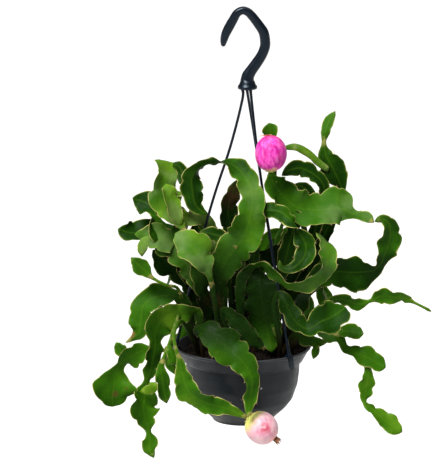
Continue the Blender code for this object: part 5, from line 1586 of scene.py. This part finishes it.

# %% [markdown]
# ## The green of the stems
# The stems are a fresh green that turns yellower where it is young and where light is painted on, and
# deeper where it is old and where shade is painted on. A pale line follows the midrib, and a fine corky
# line, cream to tan, edges every margin. A pale grey-green, partly a waxy bloom and partly a painted
# sheen of the light from above, greys the young green high up in clouds. Low down the stems turn to
# brown wood. The blade tells the paint how far each point lies from its margin, its midrib and its
# foot, so these marks follow the blade round every curl.

# %% Name the colours of the stems
LEAF_DEEP = (0.005, 0.024, 0.001)
LEAF_MID = (0.021, 0.082, 0.0018)
LEAF_YOUNG = (0.085, 0.18, 0.007)
CORK = (0.42, 0.37, 0.125)
BLOOM_AND_SHEEN = (0.125, 0.185, 0.06)
WOOD_AND_SHADE = (0.016, 0.009, 0.005)
SHADED = (0.0035, 0.013, 0.001)
TAN = (0.34, 0.27, 0.09)
BLEMISH = (0.2, 0.085, 0.03)
RUSSET = (0.045, 0.019, 0.01)
OCHRE = (0.45, 0.26, 0.08)
DARK_SPOT = (0.06, 0.035, 0.01)
CORE = at(-2, 34, -35)
BLEMISHES = (
    (at(-67, 95, -69), 4.5, OCHRE), (at(-122, 12, -38), 6.0, BLEMISH),
    (at(-127, -46, -61), 2.5, DARK_SPOT), (at(-139, -52, -61), 5.0, DARK_SPOT),
    (at(-146, -60, -60), 3.0, DARK_SPOT), (at(-128, -54, -61), 3.0, DARK_SPOT),
    (at(-13, 162, -38), 20.0, RUSSET), (at(-33, 46, -44), 16.0, RUSSET),
)

leaf_paint = Paint("stem_green_look", 0.4)
tone = leaf_paint.told("tone")
slender = leaf_paint.told("slender")
from_rim = leaf_paint.told("rim_mm")
from_rib = leaf_paint.maths("ABSOLUTE", leaf_paint.told("rib_mm"))
print("blemishes:", len(BLEMISHES))

# %% Where the green is young and painted light, waxy with painted sheen, or corky
# The tones add to the patches: high tones make the green yellower with painted light as well as youth,
# low tones deeper with painted shade.
patches = leaf_paint.plus(leaf_paint.noise(24.0, 3.0), leaf_paint.times(tone, 0.34))
grown_up = leaf_paint.ramp(patches, 0.3, 0.68)
young_and_lit = leaf_paint.ramp(patches, 0.62, 1.0, 0.0, 0.9)
# Bloom and painted sheen: paler grey-green clouds high up on bright tones, partly a waxy bloom and partly
# painted sheen from the light above.
clouds = leaf_paint.ramp(leaf_paint.noise(30.0, 3.0), 0.4, 0.6, 0.05, 0.5)
above_rim = leaf_paint.along((0.0, 0.0, RIM_Z * MM), (0.0, 0.0, 1.0))
bloom_and_sheen = leaf_paint.times(clouds, leaf_paint.ramp(tone, 0.1, 0.8), leaf_paint.ramp(above_rim, 0.05, 0.09))
rib_line = leaf_paint.ramp(from_rib, 0.2, 1.6, 0.14, 0.0)
rim_line = leaf_paint.ramp(from_rim, 0.6, 3.0, 0.2, 0.0)
broken = leaf_paint.ramp(leaf_paint.noise(70.0, 4.0), 0.36, 0.6, 0.12, 1.0)
cork = leaf_paint.times(leaf_paint.ramp(from_rim, 0.3, 0.95, 1.0, 0.0), broken,
                        leaf_paint.ramp(slender, 0.2, 0.8, 1.0, 0.2))
specks = leaf_paint.ramp(leaf_paint.noise(650.0, 2.0), 0.62, 0.78, 0.0, 0.22)
print("nodes so far:", len(leaf_paint.tree.nodes))

# %% [markdown]
# ## Shade and age
# Deep among the stems and low down near the soil little light arrives. Shadows alone would show that
# on a real plant, but this one has fewer stems inside, so the paint darkens these places with painted
# shade: near the soil, near the plant's middle and on the stems whose tones are lowest. Old thin
# stalks turn corky in patches, and a few stems bear blemishes. A blemish's row holds its place and
# radius in millimetres and its colour.

# %% Where the green is shaded, old or blemished
uneven_foot = leaf_paint.times(leaf_paint.noise(90.0, 4.0), 40.0)
low_down = leaf_paint.plus(leaf_paint.told("foot_mm"), uneven_foot)
# Painted shade: darker near the soil, on the lowest tones and near the plant's middle.
shade_near_soil = leaf_paint.ramp(low_down, 60.0, 135.0, 0.75, 0.0)
deep_shade = leaf_paint.ramp(tone, -1.4, -0.85, 0.9, 0.0)
inmost = leaf_paint.near(tuple(CORE * MM), 0.05, 0.105)
dimmed = leaf_paint.times(inmost, leaf_paint.ramp(tone, -0.1, 0.75, 0.93, 0.3))
woody = leaf_paint.ramp(low_down, 30.0, 80.0, 0.9, 0.0)
corky = leaf_paint.ramp(leaf_paint.noise(120.0, 2.0), 0.5, 0.66, 0.0, 0.5)
old_stalk = leaf_paint.times(corky, leaf_paint.ramp(slender, 0.6, 1.0),
                             leaf_paint.ramp(low_down, 90.0, 140.0), leaf_paint.ramp(tone, -0.5, 0.1))
edge_of_spot = leaf_paint.ramp(leaf_paint.noise(420.0, 3.0), 0.35, 0.6, 0.2, 0.9)
spots = []
for spot_at, radius, colour in BLEMISHES:
    spot = leaf_paint.near(tuple(spot_at * MM), radius * 0.3 * MM, radius * MM)
    spots.append((leaf_paint.times(spot, edge_of_spot), colour))
print("nodes so far:", len(leaf_paint.tree.nodes))

# %% Paint the stems
green = leaf_paint.coats(
    LEAF_DEEP, (grown_up, LEAF_MID), (young_and_lit, LEAF_YOUNG), (bloom_and_sheen, BLOOM_AND_SHEEN), (rib_line, LEAF_YOUNG),
    (rim_line, LEAF_YOUNG), (cork, CORK), (shade_near_soil, SHADED), (deep_shade, SHADED), (dimmed, SHADED),
    (woody, WOOD_AND_SHADE), (old_stalk, TAN), *spots, (specks, LEAF_YOUNG),
)
leaf_paint.set(
    Base_Color=green,
    Roughness=leaf_paint.ramp(leaf_paint.noise(45.0, 3.0), 0.3, 0.7, 0.4, 0.55),
    Specular_IOR_Level=0.03,
)
veins = leaf_paint.plus(
    leaf_paint.noise(140.0, 3.0),
    leaf_paint.times(leaf_paint.noise(900.0, 2.0), 0.2),
    leaf_paint.times(leaf_paint.noise(58.0, 2.0), 1.6),
)
leaf_paint.bump(veins, 0.0013, 0.6)
print("green has", len(leaf_paint.tree.nodes), "nodes")

# %% [markdown]
# ## Youth, painted light and painted shade of each stem
# Tones say how a stem looks from its foot to its tip, from painted deep shade at -1.5 to bright new
# growth with painted light at 1.5. They were judged stem by stem. A branch takes the tones of its stem
# unless it has its own row, under the stem's name and the branch's place in its list.

# %% Name the tones of the stems
TONES = {
    "stem_pale_left": (-0.4, 0.2, 1.1, 1.2), "stem_broad_left": (-0.6, 0.1, 0.6, 0.0, -0.5),
    "stem_bright": (-1.4, -1.0, 0.5, 0.85), "stem_loop": (-1.3, -0.1, 0.35, 0.55, -0.4, -0.7),
    "stem_point_left": (-0.7,), "stem_rolled": (-0.3, 0.9, 1.5), "stem_russet": (-0.9,),
    "stem_low_left": (-0.6, -0.3, 0.0),
    "stem_trailing_left": (-0.5, 0.0, 0.8, 1.1, -0.4, -0.3, 0.3, 0.4, 0.2),
    "stem_front_low": (0.2, 0.55), "stem_front_broad": (-0.7, -0.3, 0.2, 0.5, 0.5),
    "stem_narrow": (-0.8, -0.2),
    "stem_centre": (-1.4, -1.4, -1.1, -0.1, 0.6), "stem_big_right": (-1.3, -1.1, -0.6),
    "stem_ring_right": (-1.3, -0.5, -0.1, -0.5, 0.3), "stem_curve": (-1.3, -0.3, 0.1, -0.2, -0.8),
    "stem_bowl": (-1.3, -0.2, 0.3, 0.4), "stem_smile": (-1.4, -0.9, -0.4),
    "stem_arch_right": (-1.3, -0.8, -0.6), "stem_upright_right": (-1.3, -0.8, -0.6, 0.4),
    "stem_trailing_right": (-0.2, -0.1, 0.3, 0.3), "stem_low_right": (-0.2, 0.3, 0.4),
    "stem_inner": (-1.5,), "stem_inner_left": (-1.2,),
}
BRANCH_TONES = {
    ("stem_broad_left", 0): (0.7, 0.6, 0.7), ("stem_broad_left", 1): (1.3,),
    ("stem_upright_right", 0): (-0.4, 0.5, 1.0, 0.8),
    ("stem_low_left", 0): (0.2,), ("stem_trailing_left", 0): (0.1, 0.2, 0.1),
    ("stem_trailing_left", 2): (0.5, 0.4, -0.1), ("stem_trailing_left", 4): (1.0,),
    ("stem_low_right", 1): (0.2, 0.4, 1.0), ("stem_big_right", 0): (-0.5, -0.3, 0.0, 0.5, 0.6),
    ("stem_big_right", 1): (0.1,), ("stem_pale_left", 0): (-0.9,), ("stem_pale_left", 1): (1.1, 1.3),
}
print("stems with tones of their own:", len(TONES), "branches:", len(BRANCH_TONES))

# %% [markdown]
# ## Growing every stem
# A stem and its branches join in one mesh, which carries the numbers for the paint. Each stem has its
# own fixed seed, so a change to one leaves the others as they are.

# %% Join blades to a stem
TONE_SPREAD = 0.1


def tones_along(name, made, draw):
    """Tones of each point of a stem and its branches: youth, painted light and painted shade."""
    tones = []
    for k, (_, _, numbers) in enumerate(made):
        levels = BRANCH_TONES.get((name, k - 1), TONES.get(name, (0.0,)))
        share = numbers["foot_mm"] / numbers["foot_mm"].max()
        steps = np.linspace(0, 1, len(levels))
        tones.append(np.interp(share, steps, levels) + draw.uniform(-TONE_SPREAD, TONE_SPREAD))
    return np.concatenate(tones)


def joined(name, made):
    """One mesh of all the blades, with the numbers that the paint reads."""
    points = []
    faces = []
    for grid, blade_part, _ in made:
        offset = len(points)
        points.extend(Vector(point) * MM for point in grid)
        faces.extend(tuple(offset + index for index in face) for face in blade_part)
    mesh = bpy.data.meshes.new(name)
    mesh.from_pydata(points, [], faces)
    for label in made[0][2]:
        numbers = np.concatenate([part[2][label] for part in made])
        mesh.attributes.new(label, "FLOAT", "POINT").data.foreach_set("value", numbers)
    return mesh


def turned_outward(mesh):
    """Makes all the faces of the mesh look outward."""
    work = bmesh.new()
    work.from_mesh(mesh)
    bmesh.ops.recalc_face_normals(work, faces=work.faces)
    work.to_mesh(mesh)
    work.free()


print("branches in all:", sum(len(plan.get("branches", [])) for plan in STEMS.values()))

# %% Grow every stem
STEM_SEED = 100
triangles = 0
for order, (name, plan) in enumerate(STEMS.items()):
    draw = random.Random(STEM_SEED + order)
    view = plan.get("view", 0.0)
    swing = plan.get("swing", 0.0)
    made = [blade(plan["main"], draw, view, swing, foot=plan["foot"])]
    for k, rows in enumerate(plan.get("branches", [])):
        made.append(blade(rows, draw, view, swing, start=k + 1))
    piece_name = name.replace("stem", "waved")
    mesh = joined(piece_name, made)
    tones = tones_along(name, made, draw)
    mesh.attributes.new("tone", "FLOAT", "POINT").data.foreach_set("value", tones)
    turned_outward(mesh)
    mesh.shade_smooth()
    finished(piece_name, mesh, leaf_paint, "leaf_green", name)
    triangles += sum(len(face.vertices) - 2 for face in mesh.polygons)
print("stems:", len(STEMS), "triangles:", triangles, "notches:", len(notch_points))

# %% [markdown]
# ## Areoles
# In the notches sit areoles, the felted cushions that mark a cactus, each with three short bristles.
# There are hundreds, alike but for their size, so Geometry Nodes set a small tuft on each point, aimed
# outward by a direction that the point carries. Modelling each would take far longer and look no better.

# %% Grow a tuft from nodes
BRISTLE_FOOT = 0.00011
BRISTLE_TIP = 0.00002
BRISTLE_LEANS = ((0.5, 0.1), (-0.45, 0.3), (0.05, -0.55))
SQUAT = (1.0, 0.75, 0.55)
SIZE_RANGE = (0.7, 1.25)

areole_tree, given, result = node_tree(
    "areoles", [("Cushion", "Float"), ("Bristle", "Float"), ("Seed", "Int"), ("Finish", "Material")]
)
points_in = put(areole_tree, "GeometryNodeMeshToPoints", {0: given["Geometry"]})
aim_at = put(areole_tree, "GeometryNodeInputNamedAttribute", {"Name": "aim"}, data_type="FLOAT_VECTOR")
cushion = put(areole_tree, "GeometryNodeMeshIcoSphere", {"Radius": given["Cushion"],
                                                         "Subdivisions": 1})
squat = put(areole_tree, "GeometryNodeTransform", {0: cushion.outputs[0], "Scale": SQUAT})
spike = put(areole_tree, "GeometryNodeMeshCone", {"Vertices": 3, "Radius Bottom": BRISTLE_FOOT,
                                                  "Radius Top": BRISTLE_TIP,
                                                  "Depth": given["Bristle"]})
tuft = put(areole_tree, "GeometryNodeJoinGeometry", {})
for lean_x, lean_y in BRISTLE_LEANS:
    leaning = put(areole_tree, "GeometryNodeTransform",
                  {0: spike.outputs[0], "Rotation": (lean_x, lean_y, 0.0)})
    areole_tree.links.new(leaning.outputs[0], tuft.inputs[0])
areole_tree.links.new(squat.outputs[0], tuft.inputs[0])
facing = put(areole_tree, "FunctionNodeAlignRotationToVector", {"Vector": aim_at.outputs[0]}, axis="Z")
scale = put(areole_tree, "FunctionNodeRandomValue", {2: SIZE_RANGE[0], 3: SIZE_RANGE[1],
                                                     "Seed": given["Seed"]}, data_type="FLOAT")
set_on = put(areole_tree, "GeometryNodeInstanceOnPoints",
             {"Points": points_in.outputs[0], "Instance": tuft.outputs[0],
              "Rotation": facing.outputs[0], "Scale": scale.outputs[1]})
close_tree(areole_tree, set_on.outputs[0], given, result)
print("areole tree nodes:", len(areole_tree.nodes))

# %% Set the tufts in the notches
AREOLE = {"Cushion": 0.0006, "Bristle": 0.0022, "Seed": 5}
FELT_BROWN = (0.16, 0.1, 0.045)
FELT_CREAM = (0.42, 0.32, 0.17)

felt_paint = Paint("areole_look", 0.8)
felt = felt_paint.ramp(felt_paint.noise(260.0, 3.0), 0.35, 0.65)
# Painted shade: areoles near the plant's middle are darkened to the dark wood brown.
areole_shade = felt_paint.times(felt_paint.near(tuple(CORE * MM), 0.06, 0.11), 0.85)
felt_paint.set(Base_Color=felt_paint.coats(FELT_BROWN, (felt, FELT_CREAM), (areole_shade, WOOD_AND_SHADE)))
cloud = bpy.data.meshes.new("notches")
cloud.from_pydata([Vector(place) * MM for place, _ in notch_points], [], [])
aims = np.array([aim for _, aim in notch_points], np.float32).ravel()
cloud.attributes.new("aim", "FLOAT_VECTOR", "POINT").data.foreach_set("vector", aims)
tufts = grown(cloud, areole_tree, {**AREOLE, "Finish": felt_paint.material})
finished("areoles", tufts, felt_paint, "leaf_green")
print("areole faces:", len(tufts.polygons))

# %% [markdown]
# ## The fruits
# Two fruits ripen on the plant: one deep magenta, upright on a stem's end, and one pale pink, hanging
# with its dried flower still on. Each is an egg-like body, so its rings follow a half circle made a
# little fuller, and a few soft waves of chance keep it from looking turned on a lathe.

# %% Shape a fruit
FRUIT_STEPS = 64
FRUIT_RINGS = 44
FULLNESS = 0.85
FRUIT_RIDGES = 12
RIDGE_HEIGHT = 0.12
LUMP_HEIGHTS = (0.1, 0.28)
LUMP_DRIFT = 1.7
POLE_GAP = 0.04
LEAST_REACH = 0.05
UPPER_SIZE = (39.0, 34.0)
LOWER_SIZE = (36.5, 35.0)
UPPER_SEED = 4
LOWER_SEED = 9


def spokes(axis, count):
    """Unit vectors round an axis, each with its angle."""
    side = axis.orthogonal().normalized()
    other = axis.cross(side)
    angles = [2 * math.pi * j / count for j in range(count)]
    return [(angle, side * math.cos(angle) + other * math.sin(angle)) for angle in angles]


def fruit_mesh(name, centre, axis, size, seed):
    """A lumpy egg of a length along its axis and a girth, in millimetres."""
    draw = random.Random(seed)
    length, girth = size
    waves = [(draw.randint(2, 5), draw.uniform(*ANY_PHASE), draw.uniform(*LUMP_HEIGHTS))
             for _ in range(4)]
    found = []
    for k in range(FRUIT_RINGS + 1):
        turn = math.pi * (k + POLE_GAP) / (FRUIT_RINGS + 2 * POLE_GAP)
        radius = girth / 2 * math.sin(turn) ** FULLNESS
        travelled = -length / 2 * math.cos(turn)
        ring = []
        for angle, spoke in spokes(axis, FRUIT_STEPS):
            lumps = sum(high * math.sin(count * angle + phase + LUMP_DRIFT * turn)
                        for count, phase, high in waves)
            ridge = RIDGE_HEIGHT * math.sin(FRUIT_RIDGES * angle) * math.sin(turn)
            reach = max(radius + (lumps + ridge) * math.sin(turn), LEAST_REACH)
            ring.append(centre + axis * travelled + spoke * reach)
        found.append(ring)
    return ring_mesh(name, found)


UPPER_CENTRE = at(29.5, 208.5, -84)
LOWER_CENTRE = at(20, -89, -58)
LOWER_AXIS = (Vector((17, 0, 0)) + UP * -14).normalized()
upper_mesh = fruit_mesh("fruit_magenta_skin", UPPER_CENTRE, UP, UPPER_SIZE, UPPER_SEED)
lower_mesh = fruit_mesh("fruit_pale_skin", LOWER_CENTRE, LOWER_AXIS, LOWER_SIZE, LOWER_SEED)
print("fruit faces:", len(upper_mesh.polygons), len(lower_mesh.polygons))

# %% [markdown]
# ## Magenta skin
# The ripe skin isn't even. Short streaks run from end to end, paler and redder patches drift across
# them, a cream scar of the calyx shows low in front, the foot is tan and the crown is redder. Each of
# these is a noise or a distance, laid over the ones before it.

# %% Paint the magenta fruit
MAGENTA_DEEP = (0.36, 0.006, 0.19)
MAGENTA_BRIGHT = (0.62, 0.06, 0.36)
MAGENTA_PALE = (0.66, 0.2, 0.42)
MAGENTA_RED = (0.5, 0.006, 0.12)
CALYX_CREAM = (0.55, 0.42, 0.2)
FOOT_TAN = (0.5, 0.28, 0.12)
CROWN_RED = (0.6, 0.02, 0.12)
CALYX_AT = UPPER_CENTRE + Vector((3.5, 0, 0)) - UP * 17.0 - AWAY * 8.0

upper_paint = Paint("magenta_skin_look", 0.48)
streaks = upper_paint.noise(190.0, 5.0, (1.0, 1.0, 0.3), 0.65)
bright = upper_paint.ramp(streaks, 0.4, 0.6)
pale = upper_paint.ramp(upper_paint.noise(170.0, 5.0, (1.0, 1.0, 0.45)), 0.5, 0.72, 0.0, 0.5)
red = upper_paint.ramp(upper_paint.noise(120.0, 4.0, (1.0, 1.0, 0.6)), 0.56, 0.7, 0.0, 0.6)
calyx = upper_paint.times(upper_paint.near(tuple(CALYX_AT * MM), 0.001, 0.0045), 0.7)
upward = upper_paint.along(tuple(UPPER_CENTRE * MM), tuple(UP))
foot_tan = upper_paint.ramp(upward, -0.0188, -0.016, 0.75, 0.0)
crown = upper_paint.ramp(upward, 0.0135, 0.019, 0.0, 0.55)
pink = upper_paint.coats(
    MAGENTA_DEEP, (bright, MAGENTA_BRIGHT), (pale, MAGENTA_PALE), (red, MAGENTA_RED),
    (calyx, CALYX_CREAM), (foot_tan, FOOT_TAN), (crown, CROWN_RED),
)
upper_paint.set(Base_Color=pink, Subsurface_Weight=0.25, Subsurface_Scale=0.004,
                Specular_IOR_Level=0.2)
upper_paint.bump(streaks, 0.0005, 0.3)
finished("fruit_magenta_skin", upper_mesh, upper_paint, "fruit_magenta", "fruit_upper")
print("magenta fruit finished")

# %% [markdown]
# ## Pale skin
# The other fruit is a milky pink, greener towards its stalk, redder at its far end and mottled red on
# the side that faces the viewer. Light sinks some way into so pale a skin, so it has more subsurface
# scattering than the magenta one.

# %% Paint the pale fruit
BLUSH_DEEP = (0.57, 0.32, 0.36)
BLUSH_PALE = (0.64, 0.43, 0.45)
BLOTCH_PINK = (0.5, 0.13, 0.24)
BLOTCH_RED = (0.44, 0.06, 0.1)
UNRIPE = (0.44, 0.45, 0.08)
RIPE_END = (0.75, 0.25, 0.2)
BLOTCH_AT = LOWER_CENTRE + Vector((4.0, 0, 0)) + UP * 0.5 - AWAY * 17.0

lower_paint = Paint("pale_skin_look", 0.48)
cloudy = lower_paint.noise(80.0, 4.0, rough=0.6)
milky = lower_paint.ramp(cloudy, 0.35, 0.7)
mottled = lower_paint.ramp(lower_paint.noise(210.0, 4.0, (1.0, 1.0, 0.5)), 0.4, 0.6)
wide_blotch = lower_paint.times(lower_paint.near(tuple(BLOTCH_AT * MM), 0.008, 0.017), mottled, 0.75)
speckled = lower_paint.ramp(lower_paint.noise(260.0, 4.0), 0.3, 0.6)
blotch = lower_paint.times(lower_paint.near(tuple(BLOTCH_AT * MM), 0.001, 0.0095), speckled)
down_axis = lower_paint.along(tuple(LOWER_CENTRE * MM), tuple(LOWER_AXIS))
uneven = lower_paint.plus(down_axis, lower_paint.times(cloudy, 0.008))
unripe = lower_paint.ramp(uneven, -0.0115, -0.002, 0.9, 0.0)
ripe_end = lower_paint.ramp(uneven, 0.018, 0.023, 0.0, 0.7)
blush = lower_paint.coats(
    BLUSH_DEEP, (milky, BLUSH_PALE), (wide_blotch, BLOTCH_PINK), (blotch, BLOTCH_RED),
    (unripe, UNRIPE), (ripe_end, RIPE_END),
)
lower_paint.set(Base_Color=blush, Subsurface_Weight=0.4, Subsurface_Scale=0.006,
                Specular_IOR_Level=0.2)
lower_paint.bump(cloudy, 0.0006, 0.25)
finished("fruit_pale_skin", lower_mesh, lower_paint, "fruit_pale", "fruit_lower")
print("pale fruit finished")

# %% [markdown]
# ## Ragged cups
# A fruit joins its stem through a short corky collar with small scales round it, and the dried flower
# on the pale fruit is the same kind of form, longer and more torn. Rings whose points run in zigzags
# give either in one closed mesh. Each row of a form holds how far along it lies and how wide it is, as
# shares of the cup's length and width, and how free its points are: 0 for a plain ring and 1 for full
# points.

# %% Make the collars
POINT_STEPS = 6
COLLAR = {
    "rows": ((0.0, 0.45, 0.0), (0.25, 0.8, 0.0), (0.6, 1.0, 0.4), (1.0, 1.12, 1.0),
             (0.92, 1.02, 1.0), (0.5, 0.86, 0.4), (0.3, 0.5, 0.0)),
    "lengths": (0.6, 1.25), "jagged": 0.75, "narrowed": 0.0, "wavy": 0.0,
}
UPPER_COLLAR = {"wide": 5.2, "long": 4.2, "count": 7, "seed": 2}
LOWER_COLLAR = {"wide": 6.2, "long": 5.2, "count": 8, "seed": 3}
UPPER_COLLAR_BELOW = 20.6
LOWER_COLLAR_BEFORE = 19.6
COLLAR_DEEP = (0.22, 0.16, 0.03)
COLLAR_PALE = (0.42, 0.45, 0.09)


def ragged_cup(name, root, axis, form, wide, long, count, seed):
    """A cup of pointed scales or shreds along an axis, in millimetres."""
    draw = random.Random(seed)
    tall = [draw.uniform(*form["lengths"]) for _ in range(count)]
    found = []
    for share, radius, free in form["rows"]:
        ring = []
        for j, (angle, spoke) in enumerate(spokes(axis, count * POINT_STEPS)):
            aside = abs((j % POINT_STEPS) / (POINT_STEPS / 2) - 1)
            point = 1 - aside * form["jagged"] * free
            reach = long * share * point * (1 + (tall[j // POINT_STEPS] - 1) * free)
            width = wide * radius * (1 - form["narrowed"] * free * aside)
            ring.append(root + axis * reach + spoke * (width * (1 + form["wavy"] * math.sin(3 * angle))))
        found.append(ring)
    return ring_mesh(name, found)


collar_paint = Paint("collar_look", 0.6)
collar_mix = collar_paint.ramp(collar_paint.noise(300.0, 4.0), 0.35, 0.65)
collar_paint.set(Base_Color=collar_paint.mix(collar_mix, COLLAR_DEEP, COLLAR_PALE))
upper_root = UPPER_CENTRE - UP * UPPER_COLLAR_BELOW
upper_collar = ragged_cup("collar_magenta", upper_root, UP, COLLAR, **UPPER_COLLAR)
finished("collar_magenta", upper_collar, collar_paint, "leaf_green")
lower_root = LOWER_CENTRE - LOWER_AXIS * LOWER_COLLAR_BEFORE
lower_collar = ragged_cup("collar_pale", lower_root, LOWER_AXIS, COLLAR, **LOWER_COLLAR)
finished("collar_pale", lower_collar, collar_paint, "leaf_green")
print("collars finished")

# %% [markdown]
# ## The dry petal
# One dry, reddish petal still lies across the top of the magenta fruit. It is a thin, slightly curved
# strip, so six flat ovals are enough: each row holds how far right and up it lies from the fruit's
# middle, and its half width and half thickness.

# %% Lay the dry petal
PETAL_ROWS = (
    (-13.0, 18.4, 0.3, 0.2), (-10.5, 18.9, 1.4, 0.45), (-7.0, 19.3, 2.6, 0.5),
    (-3.0, 19.7, 3.2, 0.5), (0.5, 19.9, 2.4, 0.4), (2.0, 19.9, 0.6, 0.2),
)
PETAL_SIDES = 12
PETAL_FORWARD = 1.5
PETAL_RED = (0.45, 0.05, 0.05)
PETAL_TAN = (0.6, 0.36, 0.16)

petal_paint = Paint("dry_scale_look", 0.7)
petal_mix = petal_paint.ramp(petal_paint.noise(260.0, 3.0), 0.4, 0.6)
petal_paint.set(Base_Color=petal_paint.mix(petal_mix, PETAL_RED, PETAL_TAN))
petal_rings = []
turns = [2 * math.pi * j / PETAL_SIDES for j in range(PETAL_SIDES)]
for right, up, wide, thick in PETAL_ROWS:
    middle = UPPER_CENTRE + Vector((right, 0, 0)) + UP * up - AWAY * PETAL_FORWARD
    petal_rings.append([middle + AWAY * (wide * math.cos(angle)) + UP * (thick * math.sin(angle))
                        for angle in turns])
finished("scale_magenta", ring_mesh("scale_magenta", petal_rings), petal_paint, "dry_brown")
print("petal rings:", len(petal_rings))

# %% [markdown]
# ## The dried flower
# The pale fruit keeps a scrap of its flower: a brown neck that frays into a few papery shreds. It is
# made by the helper above from a form of its own, whose last rows turn back inside and close it. The
# widths in its rows are millimetres, so its own width is 1.

# %% Make the dried flower
DRY_DEEP = (0.09, 0.028, 0.012)
DRY_PALE = (0.28, 0.12, 0.05)
FLOWER = {
    "rows": ((-0.1, 2.6, 0), (0.0, 3.2, 0), (0.2, 3.2, 0), (0.4, 3.3, 0.1), (0.62, 3.6, 0.4),
             (0.85, 3.9, 0.8), (1.0, 4.0, 1.0), (0.9, 3.3, 0.9), (0.7, 2.1, 0.5), (0.6, 0.7, 0.1)),
    "lengths": (0.75, 1.15), "jagged": 0.45, "narrowed": 0.3, "wavy": 0.12,
}
SHREDS = {"wide": 1.0, "long": 8.0, "count": 7, "seed": 21}
FLOWER_PAST = 18.35

dry_paint = Paint("dry_flower_look", 0.8)
fibre = dry_paint.noise(700.0, 4.0, (1.0, 1.0, 0.3))
dry_paint.set(Base_Color=dry_paint.mix(dry_paint.ramp(fibre, 0.35, 0.65), DRY_DEEP, DRY_PALE))
dry_paint.bump(fibre, 0.0006, 0.8)
flower_root = LOWER_CENTRE + LOWER_AXIS * FLOWER_PAST
flower_mesh = ragged_cup("dried_flower", flower_root, LOWER_AXIS, FLOWER, **SHREDS)
finished("dried_flower", flower_mesh, dry_paint, "dry_brown", "fruit_lower_remnant")
print("dried flower finished")
